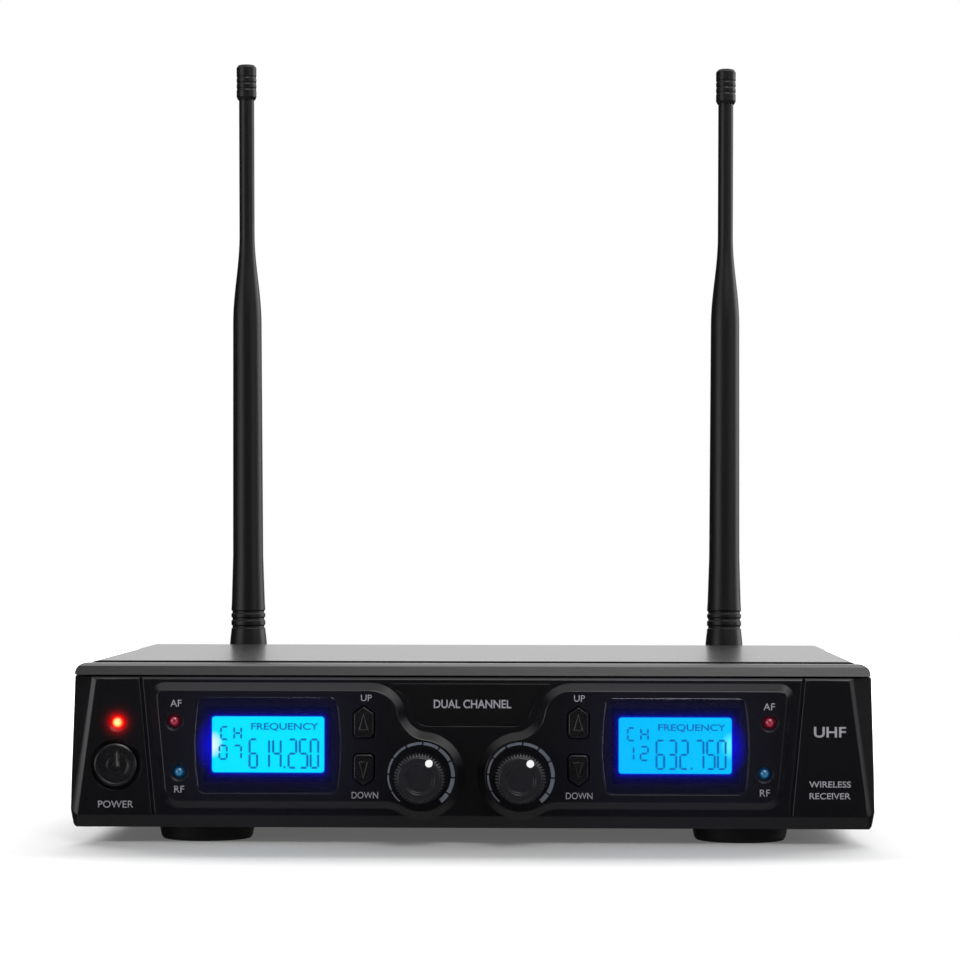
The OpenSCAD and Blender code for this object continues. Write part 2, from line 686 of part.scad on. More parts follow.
// Elbow: plug nose, retaining flange, neck and the fork that holds the hinge pin
module antenna_elbow(side) color("#202022") in_case() at_hinge(side) difference() {
    union() {
        bar([0, 0], -20, -13, 3.4);
        bar([0, 0], -13.5, -12, 5.5);
        bar([0, 0], -12.1, -8, 4.5);
        bar([0, 0], -9, -6, 5.4);
        for (x = [-5.4, 3]) {
            translate([x, 0, 0]) rotate([0, 90, 0]) cylinder(h = 2.4, r = 5.2);
            translate([x, -7, -4.2]) cube([2.4, 7, 8.4]);
        }
    }
    bar([0, 0], -21, -14, 1.15);
    rotate([0, 90, 0]) cylinder(h = 20, r = 1.27, center = true);
}

module antenna_pin(side) color("silver") in_case() at_hinge(side)
    rotate([0, 90, 0]) cylinder(h = 10.8, r = 1.25, center = true);

// Half outline of the sleeve, [radius, height above the pin]: flared boot with three
// grooves, a long slim taper, and a smooth drop to the thin upper part
thin_r = 2.32;
barrel_r = 4.37;
sleeve = concat(
    [[0, 6], [5.9, 6], [boot_r, 6.6], [6.2, 13], [5.85, 19], [5.45, 23.4], [5.2, 25.8]],
    [for (z = [26.5, 28.9, 31]) each [[5.2, z - 0.55], [4.8, z - 0.2], [4.8, z + 0.2], [5.2, z + 0.55]]],
    [[5.05, 34], [4.62, 48], [barrel_r, 119]],
    [for (i = [1:10]) [thin_r + (barrel_r - thin_r) * (1 + cos(i * 18)) / 2, 119 + i * 2.8]],
    [[thin_r, antenna_len - 2.9], [0, antenna_len - 2.9]]);

module antenna_whip(side) color("#262628") in_case() at_hinge(side) rotate([-lean(side), 0, 0])
    difference() {
        union() {
            rotate_extrude() polygon(sleeve);
            translate([-2.9, 0, 0]) rotate([0, 90, 0]) cylinder(h = 5.8, r = 5);
            translate([-2.9, -4.4, 0]) cube([5.8, 8.8, 7]);
        }
        rotate([0, 90, 0]) cylinder(h = 20, r = 1.3, center = true);
    }

// Moulded cap with three grooves, pushed over the whip's end
module antenna_tip(side) color("#262628") in_case() at_hinge(side) rotate([-lean(side), 0, 0]) {
    base = antenna_len - 10.8;
    rotate_extrude() polygon(concat(
        [[thin_r + 0.02, base], [tip_r - 0.5, base], [tip_r, base + 1]],
        [for (z = [3.4, 5.2, 7]) each [[tip_r, base + z - 0.4], [tip_r - 0.22, base + z - 0.15],
            [tip_r - 0.22, base + z + 0.15], [tip_r, base + z + 0.4]]],
        [[tip_r, antenna_len - 0.8], [tip_r - 0.6, antenna_len], [0, antenna_len],
         [0, antenna_len - 2.85], [thin_r + 0.02, antenna_len - 2.85]]));
}

// --- nodes -----------------------------------------------------------------------

top_cover();
bottom_case();
rear_panel();
front_panel();
top_trim();
badge_plate();
display_lens(A);  // display_lens_a
display_lens(B);  // display_lens_b
lcd_glass(A);  // lcd_glass_a
lcd_glass(B);  // lcd_glass_b
lcd_backlight(A);  // lcd_backlight_a
lcd_backlight(B);  // lcd_backlight_b
power_button();
power_switch();
channel_button(A, true);  // up_button_a
channel_button(B, true);  // up_button_b
channel_button(A, false);  // down_button_a
channel_button(B, false);  // down_button_b
tact_switches();
volume_knob(A);  // volume_knob_a
volume_knob(B);  // volume_knob_b
knob_pointer(A);  // knob_pointer_a
knob_pointer(B);  // knob_pointer_b
pot_shaft(A);  // pot_shaft_a
pot_shaft(B);  // pot_shaft_b
potentiometers();
power_led();
af_leds();
rf_leds();
front_board();
main_board();
board_screws();
ribbon_cable();
ribbon_headers();
rf_shields();
capacitors();
board_chips();
heat_sink();
xlr_sockets();
xlr_pins();
xlr_screws();
jack_socket();
dc_inlet();
panel_nuts();
antenna_sockets();
antenna_socket_nuts();
antenna_collar(A);  // antenna_collar_a
antenna_collar(B);  // antenna_collar_b
antenna_elbow(A);  // antenna_elbow_a
antenna_elbow(B);  // antenna_elbow_b
antenna_pin(A);  // antenna_pin_a
antenna_pin(B);  // antenna_pin_b
antenna_whip(A);  // antenna_whip_a
antenna_whip(B);  // antenna_whip_b
antenna_tip(A);  // antenna_tip_a
antenna_tip(B);  // antenna_tip_b
rubber_feet();
case_screws();
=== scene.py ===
"""Looks of a two-channel wireless microphone receiver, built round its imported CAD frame.

Lengths below are in millimetres, as in the CAD, and MM turns them into metres. A place on
the case is (x, depth, v): x to the right seen from the front, depth from the front panel's
face to the rear, and v up from the case's underside. Side -1 is channel A, on the left.
"""
import json
import math

import bmesh
import bpy
from mathutils import Matrix, Vector


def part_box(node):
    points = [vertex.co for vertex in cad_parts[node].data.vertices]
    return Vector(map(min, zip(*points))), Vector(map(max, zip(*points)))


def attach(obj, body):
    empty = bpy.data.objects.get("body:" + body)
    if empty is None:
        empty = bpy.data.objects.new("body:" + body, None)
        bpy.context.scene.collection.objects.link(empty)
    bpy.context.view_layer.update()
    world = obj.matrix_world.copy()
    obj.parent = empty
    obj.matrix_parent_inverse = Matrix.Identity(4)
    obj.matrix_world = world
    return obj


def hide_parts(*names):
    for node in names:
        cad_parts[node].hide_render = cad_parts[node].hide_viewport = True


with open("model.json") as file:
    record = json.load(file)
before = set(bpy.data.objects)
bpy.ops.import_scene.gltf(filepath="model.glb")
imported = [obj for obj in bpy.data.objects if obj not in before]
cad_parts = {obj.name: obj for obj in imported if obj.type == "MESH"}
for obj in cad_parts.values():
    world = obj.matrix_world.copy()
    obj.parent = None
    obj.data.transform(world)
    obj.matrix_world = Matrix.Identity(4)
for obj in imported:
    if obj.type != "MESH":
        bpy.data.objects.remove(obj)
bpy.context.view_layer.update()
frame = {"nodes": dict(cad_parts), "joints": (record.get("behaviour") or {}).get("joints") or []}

MM = 0.001
SIDES = {"a": -1, "b": 1}

# ---------------- places and sizes

FASCIA_H = 2.0              # how far the two raised fascias stand out of the panel
FASCIA_SLOPE = 2.1          # how much a fascia's foot is larger than its flat top
FASCIA_LEAN = 5.4           # degrees a fascia's outer side leans
PANEL_DEPTH, PANEL_WALL = 8.0, 2.5
FACE_TOP, FACE_BOTTOM, PANEL_TOP, PANEL_BOTTOM = 38.05, 3.0, 38.8, -0.2
POCKET_D = 0.8              # depth of the pockets behind the fascias
LENS_BACK = -FASCIA_H + 1.75

# places are the middles of channel B's parts, as (x, v); the power lamp and key are on the left
KNOB = (12.85, 13.5)
KNOB_R, KNOB_LEN, KNOB_GAP, KNURLS = 6.55, 11.4, 0.6, 48
POINTER_R, POINTER_TURN = 4.75, 32              # the dot's distance, and degrees from upright
WINDOW = (52.5, 21.3)
WINDOW_W, WINDOW_H = 18.9, 12.4                 # half sizes
WINDOW_CORNER, WINDOW_BULGE = 2.0, 68.0         # radii of its corners and of its bowed sides
LIT_W, LIT_H, LIT_CORNER = 14.5, 7.2, 0.8       # half sizes of the lit part of a display
BUTTON_X, UP_V, DOWN_V = 27.6, 27.4, 15.0
BUTTON_W, BUTTON_H = 5.3, 8.2
AF, RF = (76.6, 27.4), (75.3, 14.3)             # the lamps for sound and for radio
POWER_LED, POWER = (-91.5, 26.9), (-91.9, 16.0)
POWER_R, LED_R, FOOT_R = 5.5, 1.5, 12.5
WHIP_LEN, WHIP_THIN, WHIP_BARREL = 198.8, 2.32, 4.37

CORE = 0.02                 # a profile's innermost radius: its rings can't shrink to a point
INK = 0.03                  # thickness of printed marks

foot_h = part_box("rubber_feet")[1].z / MM
front_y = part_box("front_panel")[0].y / MM + FASCIA_H


def spot(x, depth, v):
    """A place on the case, in metres in the frame."""
    return Vector((x, front_y + depth, v + foot_h)) * MM


# ---------------- outlines


def arc(c, r, a0, a1, n, skip=0):
    """Points along an arc, in degrees; skip=1 leaves out a start that is already drawn."""
    turns = [math.radians(a0 + (a1 - a0) * i / n) for i in range(skip, n + 1)]
    return [(c[0] + r * math.cos(a), c[1] + r * math.sin(a)) for a in turns]


def circle(c, r, n=48):
    """An outline function: a circle that grows by g."""
    return lambda g: arc(c, r + g, 0, 360 * (n - 1) / n, n - 1)


def rounded(c, w, h, r):
    """An outline function: a rectangle of half sizes w and h with corners of radius r."""

    def outline(g):
        corners = [(1, -1, -90), (1, 1, 0), (-1, 1, 90), (-1, -1, 180)]
        return [
            p
            for sx, sy, a in corners
            for p in arc((c[0] + sx * (w - r), c[1] + sy * (h - r)), r + g, a, a + 90, 8)
        ]

    return outline


def heading(p, q):
    """Direction from p to q, in degrees."""
    return math.degrees(math.atan2(q[1] - p[1], q[0] - p[0]))


def fascia(g):
    """Outline of a fascia's flat top, channel B's, as a run of arcs that touch."""
    lean = math.radians(FASCIA_LEAN)
    rim, neck, brow, dip = 9.45, 7.8, 7.2, 10.0
    top, bottom, neck_v = 35.5, 6.6, 30.66
    neck_at = (KNOB[0] - math.sqrt((neck + rim) ** 2 - (neck_v - KNOB[1]) ** 2), neck_v)
    brow_v = top - brow
    brow_at = (neck_at[0] + math.sqrt((neck + brow) ** 2 - (neck_v - brow_v) ** 2), brow_v)
    dip_v = bottom - dip
    dip_at = (KNOB[0] + math.sqrt((dip + rim) ** 2 - (KNOB[1] - dip_v) ** 2), dip_v)
    # the outer side leans, and passes through (79, 9.7)
    side = 79 * math.cos(lean) - 9.7 * math.sin(lean)

    def inside_side(r, v):
        return ((side - r + v * math.sin(lean)) / math.cos(lean), v)

    to_neck, to_knob = heading(brow_at, neck_at), heading(neck_at, KNOB)
    to_dip = 360 + heading(KNOB, dip_at)
    return (
        arc(brow_at, brow + g, 90, to_neck, 24)
        + arc(neck_at, neck - g, to_neck - 180, to_knob, 22, 1)
        + arc(KNOB, rim + g, to_knob + 180, to_dip, 64, 1)
        + arc(dip_at, dip - g, to_dip - 180, 90, 12, 1)
        + arc(inside_side(4, bottom + 4), 4 + g, 270, 360 - FASCIA_LEAN, 18)
        + arc(inside_side(2, top - 2), 2 + g, -FASCIA_LEAN, 90, 18)
    )


def window(g):
    """Outline of channel B's display window: a rounded rectangle with bowed sides."""
    cy = WINDOW_H - WINDOW_CORNER
    bow = math.degrees(math.asin(cy / (WINDOW_BULGE - WINDOW_CORNER)))
    sx = WINDOW_W - WINDOW_BULGE
    cx = sx + (WINDOW_BULGE - WINDOW_CORNER) * math.cos(math.radians(bow))
    r, big = WINDOW_CORNER + g, WINDOW_BULGE + g
    points = (
        arc((sx, 0), big, -bow, bow, 16, 1)
        + arc((cx, cy), r, bow, 90, 12, 1)
        + arc((-cx, cy), r, 90, 180 - bow, 12)
        + arc((-sx, 0), big, 180 - bow, 180 + bow, 16, 1)
        + arc((-cx, -cy), r, 180 + bow, 270, 12, 1)
        + arc((cx, -cy), r, 270, 360 - bow, 12)
    )
    return [(x + WINDOW[0], v + WINDOW[1]) for x, v in points]


def house(side, up):
    """An outline function: a channel button, five-sided, with its point up or down."""
    centre = (side * BUTTON_X, UP_V if up else DOWN_V)

    def outline(g):
        w, h, r, shoulder, tip = BUTTON_W / 2, BUTTON_H / 2, 1.2, 2.1, 0.5
        slope = math.degrees(math.atan2(w, h - shoulder))
        top = arc((0, h - 1.4 * tip), tip + g, slope - 12, 192 - slope, 6)
        points = (
            arc((w - 0.7, shoulder - 0.3), 0.7 + g, 0, slope - 12, 4)
            + top
            + arc((-w + 0.7, shoulder - 0.3), 0.7 + g, 192 - slope, 180, 4)
            + arc((-w + r, -h + r), r + g, 180, 270, 6)
            + arc((w - r, -h + r), r + g, 270, 360, 6)
        )
        flip = 1 if up else -1
        points = [(centre[0] + x, centre[1] + flip * v) for x, v in points]
        return points if up else points[::-1]

    return outline


def badge(g):
    """Outline of the badge plate: straight top, flared sides, round lower corners."""
    half = (
        arc((11, 30.3), 4 + g, -90, -12, 12)
        + [(16.2 + g, 33)]
        + arc((21.6, 29.4), 6.5 - g, 145, 110, 8)
        + [(20.5 + g, 37.2 + g)]
    )
    return half + [(-x, v) for x, v in reversed(half)]


def mirrored(outline, side):
    """The same outline on channel A's side, still anticlockwise."""
    if side > 0:
        return outline
    return lambda g: [(-x, v) for x, v in reversed(outline(g))]


# ---------------- meshes


def add_object(name, data):
    """Puts an object with this data in the scene."""
    obj = bpy.data.objects.new(name, data)
    bpy.context.scene.collection.objects.link(obj)
    return obj


def to_object(name, bm):
    """Turns a bmesh into an object."""
    mesh = bpy.data.meshes.new(name)
    bm.to_mesh(mesh)
    bm.free()
    return add_object(name, mesh)


def new_object(name, bm):
    """Turns a bmesh into an object, with its faces outwards."""
    bmesh.ops.recalc_face_normals(bm, faces=bm.faces)
    return to_object(name, bm)


def add_rings(bm, rings):
    """A skin through rings of the same number of points, with a cap on each end."""
    rows = [[bm.verts.new(p) for p in ring] for ring in rings]
    n = len(rows[0])
    for low, high in zip(rows, rows[1:]):
        for i in range(n):
            j = (i + 1) % n
            bm.faces.new((low[i], high[i], high[j], low[j]))
    bm.faces.new(rows[0])
    bm.faces.new(rows[-1][::-1])


def loft(name, outline, rings):
    """A solid through an outline at rings of (growth, depth), from the front backwards."""
    bm = bmesh.new()
    add_rings(bm, [[spot(x, d, v) for x, v in outline(g)] for g, d in rings])
    return new_object(name, bm)


def revolve(name, profile, place, n=96, wave=None):
    """A solid of revolution through (radius, height) pairs; place puts it in the frame.

    wave(turn, radius) may change a point's radius, for knurls."""
    bm = bmesh.new()
    rows = []
    for r, h in profile:
        row = []
        for i in range(n):
            a = 2 * math.pi * i / n
            q = wave(a, r) if wave else r
            row.append(place(q * math.cos(a), q * math.sin(a), h))
        rows.append(row)
    add_rings(bm, rows)
    return new_object(name, bm)


def merge(name, objects):
    """Joins objects into one."""
    bm = bmesh.new()
    for obj in objects:
        bm.from_mesh(obj.data)
        bpy.data.objects.remove(obj)
    return to_object(name, bm)


def cut(obj, tools, operation="DIFFERENCE"):
    """Cuts tools out of obj, or unites them with it."""
    tool = merge("tool", tools)
    modifier = obj.modifiers.new("cut", "BOOLEAN")
    modifier.object, modifier.operation, modifier.solver = tool, operation, "EXACT"
    graph = bpy.context.evaluated_depsgraph_get()
    mesh = bpy.data.meshes.new_from_object(obj.evaluated_get(graph))
    obj.modifiers.clear()
    obj.data = mesh
    bpy.data.objects.remove(tool)


def lip(r, depth):
    """Rings of a cutting tool that leaves a rounded edge of radius r on a surface."""
    turns = [math.radians(90 * i / 4) for i in range(5)]
    return [(r, depth - 1)] + [
        (r - r * math.sin(t), depth + r - r * math.cos(t)) for t in turns
    ]


def rim(r, depth, n=4):
    """Rings of a solid's rounded front edge of radius r."""
    turns = [math.radians(90 * i / n) for i in range(n + 1)]
    return [(-r + r * math.sin(t), depth + r - r * math.cos(t)) for t in turns]


def shade(obj, material, angle):
    """Smooth shading that keeps flat faces flat and breaks at sharp edges."""
    obj.data.materials.clear()
    obj.data.materials.append(material)
    for polygon in obj.data.polygons:
        polygon.material_index = 0
    obj.data.shade_smooth()
    obj.data.set_sharp_from_angle(angle=math.radians(angle))
    weighted = obj.modifiers.new("weighted", "WEIGHTED_NORMAL")
    weighted.keep_sharp = True
    weighted.weight = 100


def piece(obj, material, body, slot, *nodes, angle=32):
    """Finishes a piece: its material, the body it rides on and the nodes it stands for."""
    shade(obj, material, angle)
    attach(obj, body)
    if nodes:
        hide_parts(*nodes)


def polish(node, material, width):
    """Gives a CAD node its material and rounds its sharp edges by width."""
    obj = frame["nodes"][node]
    obj.data.materials.clear()
    obj.data.materials.append(material)
    weld = obj.modifiers.new("weld", "WELD")
    weld.merge_threshold = 0.002 * MM
    flat = obj.modifiers.new("flat", "DECIMATE")
    flat.decimate_type = "DISSOLVE"
    flat.angle_limit = math.radians(0.4)
    bevel = obj.modifiers.new("bevel", "BEVEL")
    bevel.width, bevel.segments = width * MM, 2
    bevel.limit_method, bevel.angle_limit = "ANGLE", math.radians(35)
    bevel.use_clamp_overlap = True
    weighted = obj.modifiers.new("weighted", "WEIGHTED_NORMAL")
    weighted.weight = 100


# ---------------- materials


class Graph:
    """A short way to write nodes. A value is a number or another node's socket."""

    def __init__(self, tree):
        self.nodes, self.links = tree.nodes, tree.links

    def put(self, socket, value):
        """Links a socket to value, or sets it."""
        if isinstance(value, bpy.types.NodeSocket):
            self.links.new(value, socket)
        else:
            socket.default_value = value

    def math(self, operation, a, b=0.0):
        node = self.nodes.new("ShaderNodeMath")
        node.operation = operation
        self.put(node.inputs[0], a)
        self.put(node.inputs[1], b)
        return node.outputs[0]

    def between(self, factor, low, high, start, end, curve="LINEAR"):
        """Goes from low to high as factor goes from start to end, and stays within them."""
        node = self.nodes.new("ShaderNodeMapRange")
        node.interpolation_type = curve
        self.put(node.inputs["Value"], factor)
        limits = {"From Min": start, "From Max": end, "To Min": low, "To Max": high}
        for name, value in limits.items():
            self.put(node.inputs[name], value)
        return node.outputs[0]


class Tree(Graph):
    """A material's nodes, with places along the object's own axes."""

    def __init__(self, name):
        self.material = bpy.data.materials.new(name)
        self.material.use_nodes = True
        super().__init__(self.material.node_tree)
        self.shader = self.nodes["Principled BSDF"]
        self.place = self.nodes.new("ShaderNodeTexCoord").outputs["Object"]

    def set(self, **values):
        """Sets the shader's sockets; base_color sets Base Color."""
        for name, value in values.items():
            words = " ".join(w.upper() if w == "ior" else w.title() for w in name.split("_"))
            if isinstance(value, tuple) and len(value) == 3:
                value = (*value, 1)
            self.put(self.shader.inputs[words], value)

    def noise(self, scale, detail=2.0, stretch=(1, 1, 1)):
        """Noise of about 1 / scale metres, stretched along the axes."""
        mapping = self.nodes.new("ShaderNodeMapping")
        mapping.inputs["Scale"].default_value = [scale / s for s in stretch]
        self.links.new(self.place, mapping.inputs["Vector"])
        node = self.nodes.new("ShaderNodeTexNoise")
        node.inputs["Scale"].default_value = 1.0
        node.inputs["Detail"].default_value = detail
        self.links.new(mapping.outputs["Vector"], node.inputs["Vector"])
        return node.outputs["Fac"]

    def axes(self):
        """The object's own X, Y and Z."""
        split = self.nodes.new("ShaderNodeSeparateXYZ")
        self.links.new(self.place, split.inputs[0])
        return split.outputs

    def length(self, a, b):
        """The long side over the legs a and b."""
        squares = self.math("ADD", self.math("MULTIPLY", a, a), self.math("MULTIPLY", b, b))
        return self.math("SQRT", squares)

    def display(self):
        """Places outwards and up from a display's middle, and out of its lit rectangle."""
        axes = self.axes()
        out = self.math("SUBTRACT", self.math("ABSOLUTE", axes["X"]), WINDOW[0] * MM)
        up = self.math("SUBTRACT", axes["Z"], (WINDOW[1] + foot_h) * MM)
        qx = self.math("SUBTRACT", self.math("ABSOLUTE", out), (LIT_W - LIT_CORNER) * MM)
        qz = self.math("SUBTRACT", self.math("ABSOLUTE", up), (LIT_H - LIT_CORNER) * MM)
        outer = self.length(self.math("MAXIMUM", qx, 0.0), self.math("MAXIMUM", qz, 0.0))
        inner = self.math("MINIMUM", self.math("MAXIMUM", qx, qz), 0.0)
        return out, up, self.math("SUBTRACT", self.math("ADD", outer, inner), LIT_CORNER * MM)

    def radius(self, centre, side):
        """Distance from the line through a point of the front, on one side, or on both for 0."""
        axes = self.axes()
        across = axes["X"] if side else self.math("ABSOLUTE", axes["X"])
        x = self.math("SUBTRACT", across, centre[0] * MM)
        z = self.math("SUBTRACT", axes["Z"], (centre[1] + foot_h) * MM)
        return self.length(x, z)

    def fade(self, distance, length_mm):
        """Falls off from 1 with distance, to a third at about length_mm."""
        return self.math("POWER", 2.718, self.math("MULTIPLY", distance, -1 / (length_mm * MM)))

    def mix(self, factor, a, b):
        """Colour a, going to colour b as factor goes from 0 to 1."""
        node = self.nodes.new("ShaderNodeMix")
        node.data_type = "RGBA"
        self.put(node.inputs[0], factor)
        self.put(node.inputs[6], a if isinstance(a, bpy.types.NodeSocket) else (*a, 1))
        self.put(node.inputs[7], b if isinstance(b, bpy.types.NodeSocket) else (*b, 1))
        return node.outputs[2]

    def bump(self, height, depth_mm):
        """Adds relief on top of any that is there already."""
        node = self.nodes.new("ShaderNodeBump")
        node.inputs["Strength"].default_value = 1.0
        node.inputs["Distance"].default_value = depth_mm * MM
        self.put(node.inputs["Height"], height)
        normal = self.shader.inputs["Normal"]
        if normal.links:
            self.links.new(normal.links[0].from_socket, node.inputs["Normal"])
        self.links.new(node.outputs["Normal"], normal)


def grained(name, colour, rough, grain=0.15, depth=0.004, vary=0.12, stretch=(1, 1, 1), **extra):
    """A moulded, painted or plated surface: fine grain, and uneven tone and gloss.

    grain is the size of the grain and depth its height, and vary is how far the tone strays."""
    t = Tree(name)
    cloud = t.noise(90, 3)
    fine = t.noise(1 / (grain * MM), 2, stretch)
    dark = tuple(c * (1 - vary) for c in colour)
    light = tuple(min(1, c * (1 + vary)) for c in colour)
    t.set(base_color=t.mix(cloud, dark, light))
    t.set(roughness=t.between(fine, rough * 0.9, rough * 1.1, 0.3, 0.7), **extra)
    t.bump(fine, depth)
    return t.material


def lid_plastic():
    """The top cover: satin black with fine lines across it and faint waves."""
    t = Tree("lid_plastic")
    lines = t.noise(1 / (0.35 * MM), 2, (60, 1, 1))
    grain = t.noise(1 / (0.2 * MM), 2)
    t.set(base_color=t.mix(t.noise(40, 3), (0.013, 0.013, 0.014), (0.02, 0.02, 0.021)))
    t.set(roughness=t.between(lines, 0.21, 0.26, 0.3, 0.7), specular_ior_level=0.5)
    t.bump(grain, 0.0012)
    t.bump(lines, 0.0006)
    return t.material


def panel_plastic():
    """The faceplate: near-black gloss plastic, with a painted red glow round the power lamp and a
    painted blue glow round the displays.
    """
    t = Tree("panel_plastic")
    fine = t.noise(5000, 2)
    t.set(base_color=t.mix(t.noise(90, 3), (0.005, 0.005, 0.006), (0.006, 0.006, 0.0072)))
    t.set(roughness=t.between(fine, 0.22, 0.26, 0.3, 0.7))
    t.bump(fine, 0.0012)
    # painted light: the panel gives off a red glow that fades away from the power lamp, and a blue
    # glow with a little grey that fades away from each display's lit part
    red = t.fade(t.math("SUBTRACT", t.radius(POWER_LED, -1), LED_R * MM), 0.6)
    away = t.display()[2]
    blue = t.math("MULTIPLY", t.fade(t.math("MAXIMUM", away, 0.0), 8), 0.013)
    grey = t.math("MULTIPLY", blue, 0.4)
    light = t.nodes.new("ShaderNodeCombineColor")
    t.put(light.inputs["Red"], t.math("ADD", red, grey))
    t.put(light.inputs["Green"], grey)
    t.put(light.inputs["Blue"], blue)
    t.set(emission_color=light.outputs["Color"], emission_strength=1.0)
    return t.material


def glow(name, far, near, white):
    """A lit display: a bright rounded rectangle, brightest at the lamp on its outer edge."""
    t = Tree(name)
    out, up, away = t.display()
    lit = t.between(away, 1.0, 0.0, -0.12 * MM, 0.12 * MM)
    beside = t.math("SUBTRACT", out, (LIT_W - 0.2) * MM)
    lamp_away = t.length(beside, t.math("MULTIPLY", up, 0.72))
    hot = t.between(lamp_away, 1.0, 0.0, 0.8 * MM, 2.6 * MM)
    across = t.between(out, 0.0, 1.0, -LIT_W * MM, LIT_W * MM)
    core = t.mix(hot, t.mix(across, far, near), white)
    near_edge = t.fade(t.math("MAXIMUM", away, 0.0), 0.25)
    leak = t.mix(near_edge, (0.0, 0.0, 0.002), (0.0, 0.01, 0.3))
    t.set(emission_color=t.mix(lit, leak, core), emission_strength=1.15)
    t.set(base_color=(0.001, 0.001, 0.002), roughness=0.4, specular_ior_level=0.1)
    return t.material


def window_plastic():
    """The display windows: clear, with a painted blue glow in them round the display, and a painted
    flare beside the display's lamp.
    """
    t = Tree("display_window")
    out, up, away = t.display()
    outside = t.math("MAXIMUM", away, 0.0)
    beside = t.math("SUBTRACT", out, (LIT_W + 1.2) * MM)
    lamp_away = t.length(beside, t.math("MULTIPLY", up, 0.45))
    # painted light: the window gives off a blue halo close round the display's lit part, a faint
    # wide glow, and a flare beside its lamp
    painted_halo = t.math("MULTIPLY", t.fade(outside, 0.6), 0.16)
    wide = t.math("MULTIPLY", t.fade(outside, 3.0), 0.02)
    painted_flare = t.between(lamp_away, 0.22, 0.0, 0.2 * MM, 3.0 * MM)
    total = t.math("ADD", t.math("ADD", painted_halo, wide), painted_flare)
    inside = t.between(away, 0.0, 1.0, -1.4 * MM, 0.1 * MM)
    t.set(base_color=t.mix(t.noise(60, 2), (0.9, 0.91, 0.95), (0.87, 0.88, 0.93)))
    t.set(transmission_weight=0.996, ior=1.45, roughness=0.0)
    t.set(emission_color=(0.0, 0.0, 1.0), emission_strength=t.math("MULTIPLY", total, inside))
    return t.material


def lamp(name, centre, bright, dark, ring, body, strength=1.0):
    """An LED's tinted lens over its cup, glowing: bright within ring (start, middle, end), dark
    outside. A lit lamp's glow is its own light; on the unlit lamps the bright ring is a painted
    reflection of the cup and the dark glow is painted light too.
    """
    t = Tree(name)
    r = t.radius(centre, min(centre[0], 0))
    start, middle, end = (v * MM for v in ring)
    rise = t.between(r, 0.45, 1.0, start, middle)
    near = t.math("MULTIPLY", rise, t.between(r, 1.0, 0.0, middle, end))
    t.set(emission_color=t.mix(near, dark, bright), emission_strength=strength)
    t.set(base_color=body, roughness=0.08, coat_weight=1.0, coat_roughness=0.03)
    return t.material


def board_green():
    """Solder mask with copper tracks under it."""
    t = Tree("board_green")
    tracks = t.between(t.noise(260, 0, (6, 1, 1)), 0.0, 1.0, 0.5, 0.53)
    t.set(base_color=t.mix(tracks, (0.006, 0.09, 0.03), (0.012, 0.16, 0.05)))
    t.set(roughness=t.between(t.noise(2000), 0.25, 0.35, 0.3, 0.7))
    t.bump(tracks, 0.02)
    return t.material


